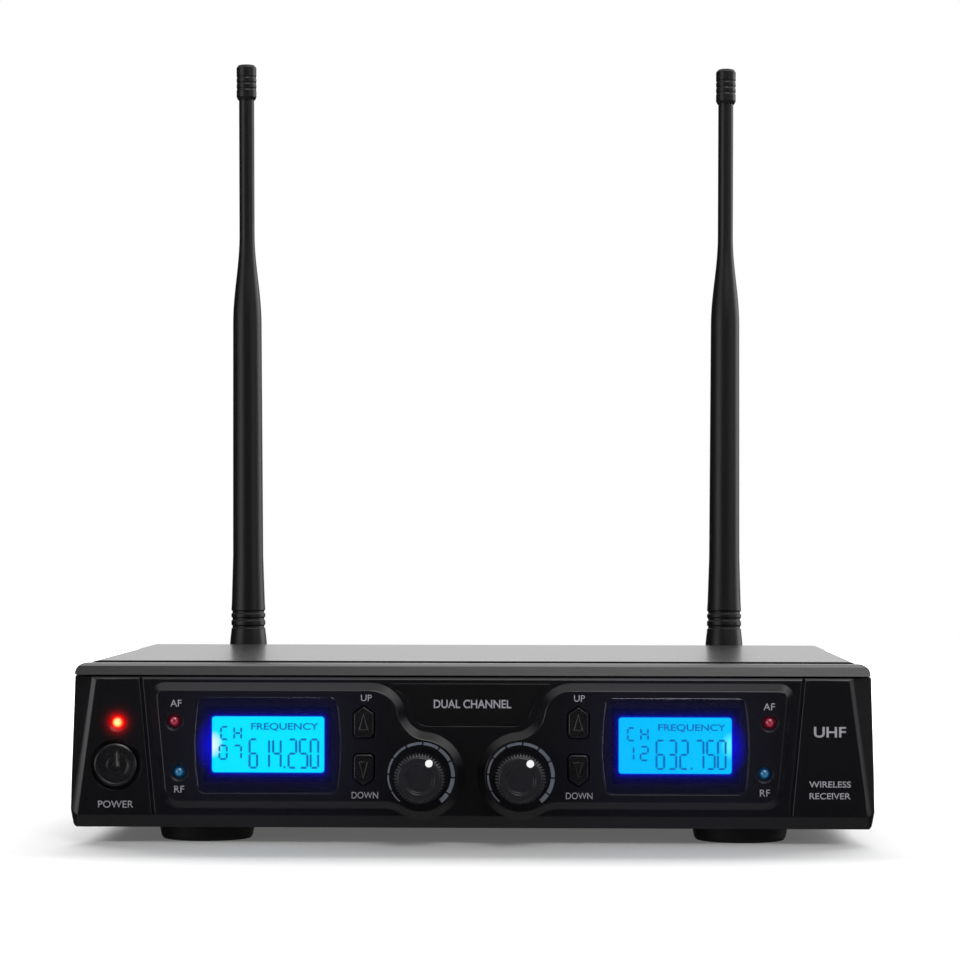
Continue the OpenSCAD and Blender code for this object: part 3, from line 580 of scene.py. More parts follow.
MAT = {
    "case": grained("case_plastic", (0.014, 0.014, 0.015), 0.42, 0.25, 0.006),
    "lid": lid_plastic(),
    "panel": panel_plastic(),
    "badge": grained("badge_plastic", (0.0062, 0.0062, 0.007), 0.2, 0.2, 0.001),
    "trim": grained(
        "trim_plastic", (0.012, 0.011, 0.011), 0.3, 0.2, 0.0015,
        stretch=(30, 1, 1), specular_ior_level=0.42,
    ),
    "rear": grained("rear_paint", (0.012, 0.012, 0.013), 0.5, 0.5, 0.02),
    "button": grained("button_plastic", (0.0075, 0.0075, 0.009), 0.27, 0.2, 0.0015),
    "knob": grained("knob_plastic", (0.019, 0.019, 0.023), 0.15, 0.25, 0.0015),
    "rubber": grained("antenna_rubber", (0.0045, 0.0045, 0.005), 0.42, 0.3, 0.005),
    "foot": grained(
        "foot_rubber", (0.0022, 0.0022, 0.0026), 0.6, 0.4, 0.01, specular_ior_level=0.3
    ),
    # the white dot glows a little: painted light that keeps it bright
    "white": grained(
        "pointer_white", (0.9, 0.9, 0.9), 0.4, 0.3, 0.001, 0.02,
        emission_color=(1.0, 1.0, 1.0), emission_strength=0.35,
    ),
    "ink": grained("label_ink", (0.38, 0.38, 0.42), 0.55, 0.3, 0.001, 0.05),
    "scale_ink": grained("scale_ink", (0.19, 0.21, 0.26), 0.5, 0.3, 0.001, 0.05),
    "lens": window_plastic(),
    "segment": grained(
        "lcd_segment", (0.0, 0.02, 0.1), 0.5, 0.3, 0.001, 0.05,
        emission_color=(0.0, 0.17, 0.56), emission_strength=1.0,
    ),
    "lcd_a": glow("lcd_lit_a", (0.0, 0.8, 1.0), (0.0, 0.82, 1.0), (0.75, 1.0, 1.0)),
    "lcd_b": glow("lcd_lit_b", (0.0, 0.53, 1.0), (0.0, 0.58, 1.0), (0.1, 0.95, 1.0)),
    "backlight": grained("backlight_white", (0.8, 0.84, 0.88), 0.4, 0.3, 0.003, 0.03),
    "power_lamp": lamp(
        "power_lamp", POWER_LED, (1.0, 0.42, 0.13), (0.5, 0.006, 0.002),
        (-1, 0.15, 1.35), (0.2, 0.01, 0.005), strength=3.2,
    ),
    # the sound and radio lamps are unlit: their glow is painted light, its bright ring a painted
    # reflection of the cup
    "red_lamp": lamp(
        "red_lamp", AF, (0.27, 0.028, 0.06), (0.035, 0.001, 0.004),
        (0.2, 0.5, 1.1), (0.12, 0.003, 0.01),
    ),
    "blue_lamp": lamp(
        "blue_lamp", RF, (0.025, 0.14, 0.26), (0.0, 0.015, 0.04),
        (0.2, 0.5, 1.1), (0.003, 0.03, 0.08),
    ),
    "steel": grained("zinc_steel", (0.55, 0.55, 0.54), 0.3, 0.3, 0.003, 0.08, metallic=1.0),
    "black_steel": grained("black_steel", (0.03, 0.03, 0.032), 0.38, 0.3, 0.003, metallic=0.6),
    "nickel": grained("nickel_plate", (0.66, 0.63, 0.57), 0.2, 0.4, 0.001, 0.05, metallic=1.0),
    "gold": grained("gold_plate", (0.85, 0.58, 0.2), 0.22, 0.4, 0.001, 0.05, metallic=1.0),
    "tin": grained("tinplate", (0.6, 0.6, 0.58), 0.35, 0.8, 0.004, 0.08, metallic=1.0),
    "aluminium": grained(
        "extruded_aluminium", (0.7, 0.7, 0.71), 0.36, 0.3, 0.004, 0.06, (1, 1, 30), metallic=1.0
    ),
    "board": board_green(),
    "moulding": grained("black_moulding", (0.013, 0.013, 0.014), 0.42, 0.3, 0.005),
    "sleeve": grained("capacitor_sleeve", (0.015, 0.03, 0.11), 0.3, 0.4, 0.002),
    "nylon": grained("natural_nylon", (0.68, 0.65, 0.56), 0.45, 0.4, 0.004, 0.05),
    "ribbon": grained(
        "ribbon_grey", (0.36, 0.36, 0.38), 0.45, 0.6, 0.03, 0.06, (1, 1000, 1000)
    ),
}

# ---------------- front panel


def panel_body():
    """The faceplate's faceted form, with its edges rounded."""
    strip_d = 0.55
    half = [
        (97.1, 0, FACE_TOP), (101.9, 0, FACE_BOTTOM),
        (98.2, strip_d, PANEL_TOP), (102.85, strip_d, 3.6),
        (103.2, 4.5, PANEL_TOP), (103.7, 2.05, 12), (103.7, 1.15, 4.2),
        (102.4, 1.6, PANEL_BOTTOM), (103.1, 2, 0.5),
        (103.2, PANEL_DEPTH, PANEL_TOP), (103.7, PANEL_DEPTH, 12),
        (103.7, PANEL_DEPTH, 4.2), (102.6, PANEL_DEPTH, PANEL_BOTTOM + 0.5),
    ]
    bm = bmesh.new()
    for side in (-1, 1):
        for x, d, v in half:
            bm.verts.new(spot(side * x, d, v))
    hull = bmesh.ops.convex_hull(bm, input=bm.verts[:])
    bmesh.ops.delete(bm, geom=hull["geom_interior"], context="VERTS")
    flat = math.radians(0.5)
    bmesh.ops.dissolve_limit(bm, angle_limit=flat, verts=bm.verts[:], edges=bm.edges[:])
    round_r = 0.22 * MM
    bmesh.ops.bevel(
        bm, geom=bm.edges[:], offset=round_r, segments=3, profile=0.5, affect="EDGES"
    )
    return new_object("front_shell", bm)


def fascia_block(side):
    """A raised fascia: rounded top edge, slope, and a foot inside the panel."""
    r, turns = 0.55, [math.radians(45 * i / 5) for i in range(6)]
    end = r * (1 - math.cos(turns[-1]))
    start = (-0.2 + end) - r * math.sin(turns[-1])
    rings = [(start + r * math.sin(t), -FASCIA_H + r * (1 - math.cos(t))) for t in turns]
    rings += [(FASCIA_SLOPE, 0.3), (FASCIA_SLOPE + 0.2, 1.4)]
    return loft("fascia", mirrored(fascia, side), rings)


def groove(side):
    """The V-shaped groove with chamfered lips at a fascia's outer side, leaning with it."""
    lean = math.tan(math.radians(FASCIA_LEAN))
    half = [(0.95, -0.15), (0.42, 0.12), (0.12, 0.55)]
    section = [(-x, d) for x, d in half] + half[::-1]
    ends = []
    for v in (3.4, 39.5):
        middle = 83.85 + (v - 21) * lean
        ends.append([spot(side * (middle + x), d, v) for x, d in section])
    bm = bmesh.new()
    add_rings(bm, ends)
    return new_object("groove", bm)


def led_well(centre, depth):
    """Tool for an LED's hole with its countersink."""
    sink = 0.85
    rings = [(g + sink, d) for g, d in lip(0.15, depth)]
    rings += [(0.1, depth + sink), (0.1, depth + 5)]
    return loft("well", circle(centre, LED_R), rings)


def side_tools(side):
    """Tools for the openings in one fascia: window, knob, buttons and LEDs, and its groove."""
    tools = []
    window_rings = lip(0.2, -FASCIA_H) + [(0.08, LENS_BACK)]
    tools.append(loft("tool", mirrored(window, side), window_rings))
    shaft = circle((side * KNOB[0], KNOB[1]), 3.5)
    tools.append(loft("tool", shaft, lip(0.2, -FASCIA_H) + [(0, 1.5)]))
    gap = 0.22
    button_rings = [(g + gap, d) for g, d in lip(0.25, -FASCIA_H)] + [(gap, 1.5)]
    for up in (True, False):
        tools.append(loft("tool", house(side, up), button_rings))
    for at in (AF, RF):
        tools.append(led_well((side * at[0], at[1]), -FASCIA_H))
    tools.append(groove(side))
    return tools


def front_panel():
    """The moulded faceplate: shell, fascias, and everything cut into them."""
    shell = panel_body()
    cut(shell, [fascia_block(side) for side in (-1, 1)], "UNION")
    # hollow from behind, and hollower behind the fascias
    inner = rounded((0, 19.5), 98.6, 17.3, 1)
    cut(shell, [loft("tool", inner, [(0, PANEL_WALL), (0, PANEL_DEPTH + 1)])])
    pockets = [mirrored(fascia, side) for side in (-1, 1)]
    pocket_rings = [(-1.8, POCKET_D), (-1.8, PANEL_WALL + 0.5)]
    cut(shell, [loft("tool", outline, pocket_rings) for outline in pockets])
    tools = side_tools(-1) + side_tools(1)
    tools.append(led_well(POWER_LED, 0))
    well = [(g + 1.0, d) for g, d in lip(0.25, 0)] + [(0.85, 0.9), (0.25, 1.1), (0.25, 3)]
    tools.append(loft("tool", circle(POWER, POWER_R, 96), well))
    tools.append(loft("tool", badge, [(g + 0.1, d) for g, d in lip(0.2, 0)] + [(0.1, 0.6)]))
    cut(shell, tools)
    # the displays' openings, smaller than the windows that rest round them
    views = [rounded((side * WINDOW[0], WINDOW[1]), 16.5, 9.8, 0.6) for side in (-1, 1)]
    cut(shell, [loft("tool", view, [(0, LENS_BACK - 0.1), (0, 1.5)]) for view in views])
    piece(shell, MAT["panel"], "case", "panel_plastic", "front_panel")


def badge_insert():
    """The glossy plate at the middle of the faceplate's top edge."""
    rings = rim(0.25, -0.02) + [(0, 0.58)]
    piece(loft("badge_insert", badge, rings), MAT["badge"], "case", "panel_plastic", "badge_plate")


# ---------------- displays

# the segments of a digit, clockwise from the top, then the middle one
DIGITS = {
    "0": "abcdef", "1": "bc", "2": "abdeg", "3": "abcdg", "4": "bcfg", "5": "acdfg",
    "6": "acdefg", "7": "abc", "8": "abcdefg", "9": "abcdfg", "C": "adef", "H": "bcefg",
}


def bar_points(p, q, t):
    """A segment from p to q, t thick, with pointed ends."""
    dx, dy = q[0] - p[0], q[1] - p[1]
    long = math.hypot(dx, dy)
    ux, uy = dx / long, dy / long
    h, start = t / 2, 0.12
    end = long - start
    points = [(start, 0), (start + h, h), (end - h, h), (end, 0), (end - h, -h), (start + h, -h)]
    return [(p[0] + a * ux - b * uy, p[1] + a * uy + b * ux) for a, b in points]


def digit(text, x, v, w, h, t):
    """Outlines of a seven-segment character whose lower left corner is at x, v."""
    corner = {
        "tl": (x, v + h), "tr": (x + w, v + h), "ml": (x, v + h / 2),
        "mr": (x + w, v + h / 2), "bl": (x, v), "br": (x + w, v),
    }
    runs = {
        "a": ("tl", "tr"), "b": ("tr", "mr"), "c": ("mr", "br"), "d": ("br", "bl"),
        "e": ("bl", "ml"), "f": ("ml", "tl"), "g": ("ml", "mr"),
    }
    return [bar_points(corner[runs[s][0]], corner[runs[s][1]], t) for s in DIGITS[text]]


def plates(name, outlines, depth):
    """Flat marks of ink on the front, one for each outline."""
    bm = bmesh.new()
    for points in outlines:
        add_rings(bm, [[spot(x, d, v) for x, v in points] for d in (depth - INK, depth)])
    return new_object(name, bm)


def label(text, centre, height, depth, width, bold=0.0):
    """A printed label, height tall and width wide, its strokes thickened by bold."""
    curve = bpy.data.curves.new("label", "FONT")
    curve.body, curve.extrude, curve.offset = text, 0.01, bold
    curve.resolution_u = 6
    obj = add_object("label", curve)
    graph = bpy.context.evaluated_depsgraph_get()
    mesh = bpy.data.meshes.new_from_object(obj.evaluated_get(graph))
    bpy.data.objects.remove(obj)
    xs, ys = [p.co.x for p in mesh.vertices], [p.co.y for p in mesh.vertices]
    tall = height / (max(ys) - min(ys))
    wide = width / (max(xs) - min(xs))
    mid_x, mid_y = (max(xs) + min(xs)) / 2, (max(ys) + min(ys)) / 2
    for p in mesh.vertices:
        x, y, z = p.co
        p.co = spot(
            centre[0] + (x - mid_x) * wide,
            depth - INK if z > 0 else depth + 0.01,
            centre[1] + (y - mid_y) * tall,
        )
    return add_object("label", mesh)


def display(name, channel, frequency):
    """A channel's window, lit glass and segments."""
    side = SIDES[name]
    cx, cv = side * WINDOW[0], WINDOW[1]
    face = -FASCIA_H + 0.12
    window_rings = [
        (-0.34, face), (-0.3, face + 0.005), (-0.03, face + 0.14), (0, face + 0.2),
        (0, LENS_BACK),
    ]
    lens = loft("window_" + name, mirrored(window, side), window_rings)
    piece(lens, MAT["lens"], "case", "display_window", "display_lens_" + name)
    glass_d = POCKET_D + 0.2
    glass_rings = rim(0.15, glass_d) + [(0, glass_d + 2.2)]
    glass = loft("display_" + name, rounded((cx, cv), 18, 11, 0.5), glass_rings)
    piece(glass, MAT["lcd_" + name], "case", "lcd", "lcd_glass_" + name)
    marks = []
    for text, x in zip("CH", (-12.2, -8.8)):
        marks += digit(text, cx + x, cv + 1.3, 1.8, 3.2, 0.5)
    for text, x in zip(channel, (-12.6, -8.9)):
        marks += digit(text, cx + x, cv - 3.8, 1.9, 3.5, 0.5)
    for text, x in zip(frequency, (-4.8, -1.7, 1.3, 5.3, 8.2, 11.0)):
        marks += digit(text, cx + x, cv - 6.0, 1.95, 7.3, 0.56)
    left, right, bottom, top = cx + 4.0, cx + 4.5, cv - 6.15, cv - 5.6
    marks.append([(left, bottom), (right, bottom), (right, top), (left, top)])
    segments = plates("segments", marks, glass_d)
    word = label("FREQUENCY", (cx + 4.3, cv + 4.5), 2.1, glass_d, 17.4, 0.02)
    piece(merge("display_segments_" + name, [segments, word]), MAT["segment"], "case", "lcd")


# ---------------- controls


def front_place(centre):
    """Puts a solid of revolution's axis along the depth, at a point of the front."""
    return lambda a, b, h: spot(centre[0] + a, h, centre[1] + b)


def rounded_profile(points):
    """A profile from (radius, height, corner radius) triples, its corners made round."""
    out, steps = [], 5
    for i, (r, h, c) in enumerate(points):
        if not c or i in (0, len(points) - 1):
            out.append((r, h))
            continue
        here = Vector((r, h))
        before = (Vector(points[i - 1][:2]) - here).normalized()
        after = (Vector(points[i + 1][:2]) - here).normalized()
        half = before.angle(after) / 2
        reach = c / math.tan(half)
        start, end = here + before * reach, here + after * reach
        for k in range(steps + 1):
            s = k / steps
            p = start * (1 - s) ** 2 + here * 2 * s * (1 - s) + end * s**2
            out.append((p.x, p.y))
    return out


def knob(name):
    """A knurled knob with a dished end, and the white dot set in it."""
    side = SIDES[name]
    centre = (side * KNOB[0], KNOB[1])
    front = -FASCIA_H - KNOB_GAP - KNOB_LEN
    back = -FASCIA_H - KNOB_GAP
    profile = rounded_profile([
        (CORE, front + 0.7, 0), (3.35, front + 0.7, 0.3), (3.9, front, 0.35),
        (5.5, front, 0.4), (5.65, front + 0.85, 0.1),
        (KNOB_R, front + 1.25, 0.1), (KNOB_R, back - 0.3, 0.15),
        (KNOB_R - 0.3, back, 0.1), (3.5, back, 0),
        (3.5, back - 1, 0), (CORE, back - 1, 0),
    ])

    def teeth(a, r):
        """Radius at angle a: the knurls cut into the part of the knob that is wide enough."""
        depth = 0.6 * min(1, max(0, (r - 5.7) / 0.6))
        return r - depth * (0.5 - 0.5 * math.cos(a * KNURLS)) ** 0.7

    cap = revolve("knob_" + name, profile, front_place(centre), KNURLS * 8, teeth)
    piece(cap, MAT["knob"], "volume_knob_" + name, "knob_plastic", "volume_knob_" + name, angle=50)
    turn = math.radians(POINTER_TURN)
    at = (centre[0] + POINTER_R * math.sin(turn), centre[1] + POINTER_R * math.cos(turn))
    dot = rounded_profile([
        (CORE, front - 0.08, 0), (0.95, front - 0.06, 0.06),
        (0.97, front + 0.5, 0), (CORE, front + 0.5, 0),
    ])
    mark = revolve("knob_dot_" + name, dot, front_place(at), 40)
    piece(mark, MAT["white"], "volume_knob_" + name, "pointer_paint", "knob_pointer_" + name)


def knob_scales():
    """The printed rings round the knobs: ten strokes that grow clockwise."""
    strokes, outer = 10, 8.7
    outlines = []
    for side in (-1, 1):
        for i in range(strokes):
            width = 0.34 + 0.78 * i / (strokes - 1)
            a0, a1 = 237 - 30 * i - 1.4, 237 - 30 * (i + 1) + 1.4
            if i == 0:
                a0 = 230
            if i == strokes - 1:
                a1 = -52
            centre = (side * KNOB[0], KNOB[1])
            outlines.append(arc(centre, outer, a1, a0, 10) + arc(centre, outer - width, a0, a1, 10))
    scales = plates("knob_scales", outlines, -FASCIA_H)
    piece(scales, MAT["scale_ink"], "case", "panel_plastic")


def ridge(p, q, width, crest, foot):
    """A bar with a roof-shaped front on the panel, between two points."""
    along = Vector((q[0] - p[0], q[1] - p[1])).normalized()
    side = Vector((-along.y, along.x))
    half, base = width / 2, foot + 0.2
    section = [(-half, foot), (0, crest), (half, foot), (half, base), (-half, base)]
    ends = []
    for end, way in ((p, -0.3), (q, 0.3)):
        at = Vector(end) + along * width * way
        ends.append([spot(at.x + side.x * w, d, at.y + side.y * w) for w, d in section])
    bm = bmesh.new()
    add_rings(bm, ends)
    return new_object("ridge", bm)


def channel_button(name, up):
    """A five-sided key with a triangle raised on it, which points up or down."""
    side = SIDES[name]
    word = "up" if up else "down"
    front = -FASCIA_H - 0.8
    rings = [(g - 0.06, d) for g, d in rim(0.45, front, 5)] + [(-0.06, POCKET_D + 0.4)]
    key = loft(f"{word}_key_{name}", house(side, up), rings)
    v, flip = (UP_V, 1) if up else (DOWN_V, -1)
    x, base = side * BUTTON_X, v - flip * 2.0
    tip, left, right = (x, v + flip * 1.9), (x - 1.05, base), (x + 1.05, base)
    for p, q in ((tip, left), (left, right), (right, tip)):
        cut(key, [ridge(p, q, 0.56, front - 0.13, front + 0.01)], "UNION")
    node = f"{word}_button_{name}"
    piece(key, MAT["button"], node, "button_plastic", node, angle=40)


def sign_ring(g):
    """The power sign's broken ring."""
    outer = arc(POWER, 2.95 + g, 120 - 12 * g, 420 + 12 * g, 48)
    return outer + arc(POWER, 2.35 - g, 420 + 12 * g, 120 - 12 * g, 48)


def sign_bar(g):
    """The power sign's bar."""
    return rounded((POWER[0], POWER[1] + 1.5), 0.32, 1.95, 0.28)(g)


def power_key():
    """The round power button, with a stepped rim and the power sign sunk in its face."""
    front = -0.9
    profile = rounded_profile([
        (CORE, front + 0.08, 0), (4.7, front + 0.08, 0.2), (4.98, front - 0.2, 0.05),
        (5.1, front - 0.2, 0.05), (POWER_R, front + 0.02, 0.05),
        (POWER_R, 3.4, 0), (CORE, 3.4, 0),
    ])
    key = revolve("power_key", profile, front_place(POWER), 120)
    walls = [(0.2, front + 0.02), (-0.2, front + 0.26)]
    cut(key, [loft("sign", outline, walls) for outline in (sign_ring, sign_bar)])
    piece(key, MAT["button"], "power_button", "button_plastic", "power_button", angle=40)


def led(centre, tip):
    """An LED: a round-ended lens with a flange."""
    turns = [math.radians(90 * i / 10) for i in range(11)]
    dome = [(max(LED_R * math.sin(t), CORE), tip + LED_R * (1 - math.cos(t))) for t in turns]
    flange, top, bottom = LED_R + 0.4, tip + 4.4, tip + 5.4
    base = [(LED_R, top), (flange, top), (flange, bottom), (CORE, bottom)]
    return revolve("led", dome + base, front_place(centre), 48)


def leds():
    """The power lamp, and two lamps on each fascia: red for sound, blue for radio."""
    power = merge("power_lamp", [led(POWER_LED, -0.5)])
    piece(power, MAT["power_lamp"], "case", "led_red", "power_led")
    power.visible_glossy = False
    for node, at, colour in (("af", AF, "red"), ("rf", RF, "blue")):
        pair = [led((side * at[0], at[1]), -FASCIA_H - 0.1) for side in (-1, 1)]
        lamps = merge(node + "_lamps", pair)
        piece(lamps, MAT[colour + "_lamp"], "case", "led_" + colour, node + "_leds")


def labels():
    """The printed words, all of them plain names of functions."""
    raised, flat = -FASCIA_H, 0.0
    made = [
        label("POWER", (-91.9, 5.8), 1.8, flat, 9.1),
        label("UHF", (92.2, 24.9), 2.75, flat, 8.2, 0.02),
        label("WIRELESS", (92.2, 11.5), 1.6, flat, 10.7, 0.012),
        label("RECEIVER", (92.2, 8.5), 1.6, flat, 10.5, 0.012),
        label("DUAL CHANNEL", (0.3, 31.9), 2.2, -0.02, 20.0, 0.016),
    ]
    for side in (-1, 1):
        low = 0.5 if side > 0 else 0.0
        made += [
            label("AF", (side * 76.3 + 0.2, 32.0 - low), 1.75, raised, 2.9),
            label("RF", (side * 75.3 + 0.1, 9.9 - low), 1.75, raised, 2.6),
            label("UP", (side * 27.4 + 0.45, 33.5), 1.65, raised, 2.8),
            label("DOWN", (side * 27.55 + 0.25, 8.5), 1.7, raised, 6.8),
        ]
    piece(merge("front_labels", made), MAT["ink"], "case", "pointer_paint")


# ---------------- antennas and feet


def whip_place(name):
    """Puts a solid of revolution's axis along a whip, with its height above the pin."""
    low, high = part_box("antenna_pin_" + name)
    pin = (low + high) / 2
    joint = next(j for j in frame["joints"] if j["name"] == "antenna_tilt_" + name)
    axis = Vector(joint["axis"])
    outward = Vector((-axis.z, 0, axis.x)) if axis.x > 0 else Vector((axis.z, 0, -axis.x))
    spread = Matrix.Rotation(math.atan2(outward.x, outward.z), 3, "Y")
    lean = math.radians(-min(joint["range_deg"]))
    turn = spread @ Matrix.Rotation(-lean, 3, "X")
    return lambda a, b, h: pin + turn @ (Vector((a, b, h)) * MM)


def rings_cut(heights, r, depth, wide, narrow, soft, crisp):
    """Profile points of ring grooves: half widths at top and bottom, and corner radii."""
    points = []
    for z in heights:
        points += [
            (r, z - wide, soft), (r - depth, z - narrow, crisp),
            (r - depth, z + narrow, crisp), (r, z + wide, soft),
        ]
    return points


def whip_sleeve(name, place):
    """The turned part of a whip: a thick foot, three grooves, and the taper to the thin end."""
    steps, start, rise = 16, 119, 28
    taper = []
    for i in range(1, steps + 1):
        left = (1 + math.cos(math.pi * i / steps)) / 2
        taper.append((WHIP_THIN + (WHIP_BARREL - WHIP_THIN) * left, start + rise * i / steps, 0))
    foot = [
        (CORE, 6, 0), (5.9, 6, 0.4), (6.3, 6.7, 0.3), (6.2, 13, 0), (5.85, 19, 0),
        (5.45, 23.4, 0), (5.2, 25.4, 0),
    ]
    barrel = [(5.05, 34, 0), (4.62, 48, 0), (4.5, 83, 0), (WHIP_BARREL, start, 0)]
    end = WHIP_LEN - 2.9
    grooves = rings_cut((26.5, 28.9, 31.0), 5.2, 0.34, 0.6, 0.25, 0.15, 0.1)
    profile = foot + grooves + barrel + taper + [(WHIP_THIN, end, 0), (CORE, end, 0)]
    return revolve("whip_" + name, rounded_profile(profile), place)


def whip_eye(place):
    """The eye on the hinge pin, with the neck that joins it to the sleeve."""
    wide, r = 2.9, 5.0
    outline = arc((0, 0), r, 180, 360, 24) + [(4.4, 1.5), (4.4, 7), (-4.4, 7), (-4.4, 1.5)]
    rings = []
    for x, g in ((-wide, -0.3), (-wide + 0.3, 0), (wide - 0.3, 0), (wide, -0.3)):
        grow = 1 + g / r
        rings.append([place(x, y * grow, z * grow if z < 0 else z) for y, z in outline])
    bm = bmesh.new()
    add_rings(bm, rings)
    return new_object("neck", bm)


def pin_hole(place):
    """A tool for the hole that takes the hinge pin."""
    outline = arc((0, 0), 1.3, 0, 345, 23)
    bm = bmesh.new()
    add_rings(bm, [[place(x, y, z) for y, z in outline] for x in (-5, 5)])
    return new_object("hole", bm)


def whip_cap(name, place):
    """The ribbed cap on a whip's end."""
    base, r = WHIP_LEN - 10.8, 3.05
    ribs = rings_cut([base + z for z in (3.4, 5.2, 7.0)], r, 0.12, 0.45, 0.15, 0.12, 0.05)
    profile = [(WHIP_THIN + 0.02, base + 0.3, 0), (r - 0.45, base, 0.15), (r, base + 1, 0.3)]
    profile += ribs + [(r, WHIP_LEN - 0.8, 0.3), (r - 0.6, WHIP_LEN, 0.25), (CORE, WHIP_LEN, 0)]
    # the first point only gives the lower edge its slope
    return revolve("whip_cap_" + name, rounded_profile(profile)[1:], place, 64)


def whip(name):
    """An antenna's whip: the rubber sleeve with its eye, and the cap."""
    place, body = whip_place(name), "antenna_whip_" + name
    sleeve = whip_sleeve(name, place)
    cut(sleeve, [whip_eye(place)], "UNION")
    cut(sleeve, [pin_hole(place)])
    piece(sleeve, MAT["rubber"], body, "antenna_rubber", "antenna_whip_" + name, angle=40)
    cap = whip_cap(name, place)
    piece(cap, MAT["rubber"], body, "antenna_rubber", "antenna_tip_" + name, angle=40)


def floor_place(x, y):
    """Puts a solid of revolution's axis upright at a place on the floor, in metres."""
    return lambda a, b, h: Vector((x + a * MM, y + b * MM, h * MM))


def feet():
    """Four round rubber feet, each with a sunk middle."""
    low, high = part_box("rubber_feet")
    r = FOOT_R
    profile = rounded_profile([
        (CORE, 0.6, 0), (r - 4, 0.6, 0.2), (r - 3.6, 0, 0.2), (r - 1, 0, 0.3),
        (r - 0.5, 0.8, 0.3), (r, foot_h - 1, 0.3), (r, foot_h, 0), (CORE, foot_h, 0),
    ])
    made = []
    for x in (low.x + r * MM, high.x - r * MM):
        for y in (low.y + r * MM, high.y - r * MM):
            made.append(revolve("foot", profile, floor_place(x, y), 72))
    piece(merge("feet", made), MAT["foot"], "case", "foot_rubber", "rubber_feet")


# ---------------- CAD nodes that stay

# for each material, the nodes that wear it and the width of their edges' bevel
KEPT = {
    "lid": [("top_cover", 0.15)],
    "case": [("bottom_case", 0.4)],
    "trim": [("top_trim", 0.15)],
    "rear": [("rear_panel", 0.15)],
    "moulding": [
        ("power_switch", 0.15), ("tact_switches", 0.15), ("board_chips", 0.12),
        ("xlr_sockets", 0.25), ("jack_socket", 0.2), ("dc_inlet", 0.2),
        ("antenna_collar_a", 0.1), ("antenna_collar_b", 0.1),
        ("antenna_elbow_a", 0.25), ("antenna_elbow_b", 0.25),
    ],
    "backlight": [("lcd_backlight_a", 0.2), ("lcd_backlight_b", 0.2)],
    "board": [("front_board", 0.1), ("main_board", 0.1)],
    "steel": [
        ("board_screws", 0.08), ("potentiometers", 0.2),
        ("antenna_pin_a", 0.1), ("antenna_pin_b", 0.1),
    ],
    "black_steel": [("xlr_screws", 0.08), ("case_screws", 0.08)],
    "nickel": [("panel_nuts", 0.12), ("antenna_sockets", 0.1), ("antenna_socket_nuts", 0.12)],
    "gold": [("xlr_pins", 0.1)],
    "tin": [("rf_shields", 0.15)],
    "aluminium": [("heat_sink", 0.1), ("pot_shaft_a", 0.1), ("pot_shaft_b", 0.1)],
    "sleeve": [("capacitors", 0.1)],
    "nylon": [("ribbon_headers", 0.15)],
    "ribbon": [("ribbon_cable", 0.1)],
}


def kept_nodes():
    """Gives the nodes kept from the CAD their materials and soft edges."""
    for material, nodes in KEPT.items():
        for node, width in nodes:
            polish(node, MAT[material], width)


# ---------------- stage


def camera():
    """Level with a point a little above the case, right of its middle."""
    data = bpy.data.cameras.new("camera")
    data.sensor_width, data.lens = 36.0, 118.5
    data.clip_start, data.clip_end = 0.05, 50
    obj = add_object("camera", data)
    obj.location = spot(23.7, -815, 75.7)
    pan, tilt, roll = (math.radians(turn) for turn in (1.514, 0.98, 0.078))
    aim = Matrix.Rotation(pan, 3, "Z") @ Matrix.Rotation(math.pi / 2 + tilt, 3, "X")
    obj.rotation_euler = (aim @ Matrix.Rotation(roll, 3, "Z")).to_euler()
    bpy.context.scene.camera = obj


def floor():
    """A plain white floor that brightens into the backdrop away from the object.

    It isn't seen in reflections, so it doesn't grey the front.
    """
    bm = bmesh.new()
    corners = [(-3, -2), (3, -2), (3, 1.3), (-3, 1.3)]
    bm.faces.new([bm.verts.new((x, y, 0)) for x, y in corners])
    obj = new_object("floor", bm)
    t = Tree("floor_white")
    t.set(base_color=t.mix(t.noise(3, 2), (0.84, 0.84, 0.84), (0.86, 0.86, 0.86)))
    t.set(roughness=0.9, specular_ior_level=0.0)
    axes = t.axes()
    away = t.length(axes["X"], axes["Y"])
    t.set(emission_color=(1.0, 1.0, 1.0), emission_strength=t.between(away, 0.1, 1.0, 0.45, 1.1))
    obj.data.materials.append(t.material)
    obj.visible_glossy = obj.visible_transmission = False


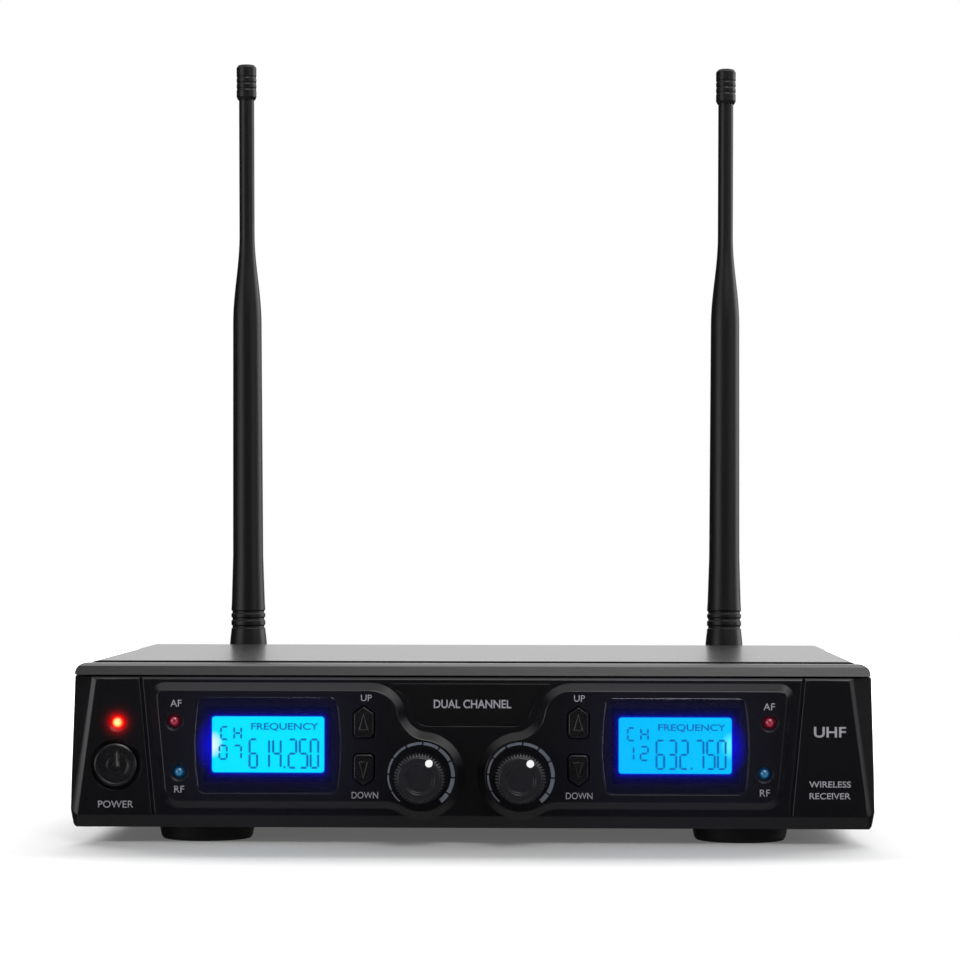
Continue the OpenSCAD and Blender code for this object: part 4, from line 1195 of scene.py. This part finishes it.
# soft boxes of the studio: direction, cosines where the edge starts and ends, brightness
SOFT_BOXES = [
    ((0, 0, 1), 0.45, 0.9, 0.72),
    ((0, 0.75, 0.66), 0.82, 0.95, 1.3),
    ((0, 1, 0.05), 0.9, 0.99, 0.84),
    ((0.22, -0.6, 0.77), 0.94, 0.98, 4.0),
    ((0.72, 0.1, 0.69), 0.86, 0.97, 0.9),
    ((0.88, 0.42, 0.24), 0.9, 0.98, 3.0),
    ((-0.78, -0.62, 0.05), 0.92, 0.98, 1.9),
    ((0.78, -0.62, 0.05), 0.955, 0.99, 1.0),
    ((0, -0.3, -1), 0.5, 0.85, 0.2),
]
STUDIO_DARK = 0.02          # brightness outside the soft boxes
DIFFUSE_GAIN = 0.36         # how much of the studio lights matt surfaces
BACK_LAMP_W, BACK_LAMP_AT, BACK_LAMP_SIZE = 85, (0, 1.35, 1.2), (3.6, 1.0)


def light():
    """A dark studio with soft boxes above, behind and at the sides, and a lamp behind."""
    world = bpy.data.worlds.new("studio")
    bpy.context.scene.world = world
    world.use_nodes = True
    g = Graph(world.node_tree)
    direction = g.nodes.new("ShaderNodeTexCoord").outputs["Generated"]
    total = STUDIO_DARK
    for axis, start, end, brightness in SOFT_BOXES:
        dot = g.nodes.new("ShaderNodeVectorMath")
        dot.operation = "DOT_PRODUCT"
        g.put(dot.inputs[0], direction)
        g.put(dot.inputs[1], Vector(axis).normalized())
        box = g.between(dot.outputs["Value"], 0.0, brightness, start, end, "SMOOTHSTEP")
        total = g.math("ADD", total, box)
    # matt surfaces get less light than glossy ones mirror, and the camera sees a white backdrop
    path = g.nodes.new("ShaderNodeLightPath").outputs
    gain = g.math("ADD", 1.0, g.math("MULTIPLY", path["Is Diffuse Ray"], DIFFUSE_GAIN - 1))
    unseen = g.math("SUBTRACT", 1.0, path["Is Camera Ray"])
    total = g.math("MULTIPLY", g.math("MULTIPLY", total, gain), unseen)
    total = g.math("ADD", total, path["Is Camera Ray"])
    background = g.nodes["Background"].inputs
    g.put(background["Strength"], total)
    background["Color"].default_value = (1, 1, 1, 1)

    lamp_data = bpy.data.lights.new("back_lamp", "AREA")
    lamp_data.shape, lamp_data.energy = "RECTANGLE", BACK_LAMP_W
    lamp_data.size, lamp_data.size_y = BACK_LAMP_SIZE
    back = add_object("back_lamp", lamp_data)
    back.location = BACK_LAMP_AT
    back.rotation_euler = (-back.location).to_track_quat("-Z", "Y").to_euler()
    back.visible_glossy = False
    bpy.context.scene.view_settings.view_transform = "Standard"


# ---------------- making

camera()
floor()
light()
kept_nodes()
front_panel()
badge_insert()
display("a", "07", "614250")
display("b", "12", "632750")
for channel in SIDES:
    knob(channel)
    channel_button(channel, True)
    channel_button(channel, False)
    whip(channel)
knob_scales()
power_key()
leds()
labels()
feet()
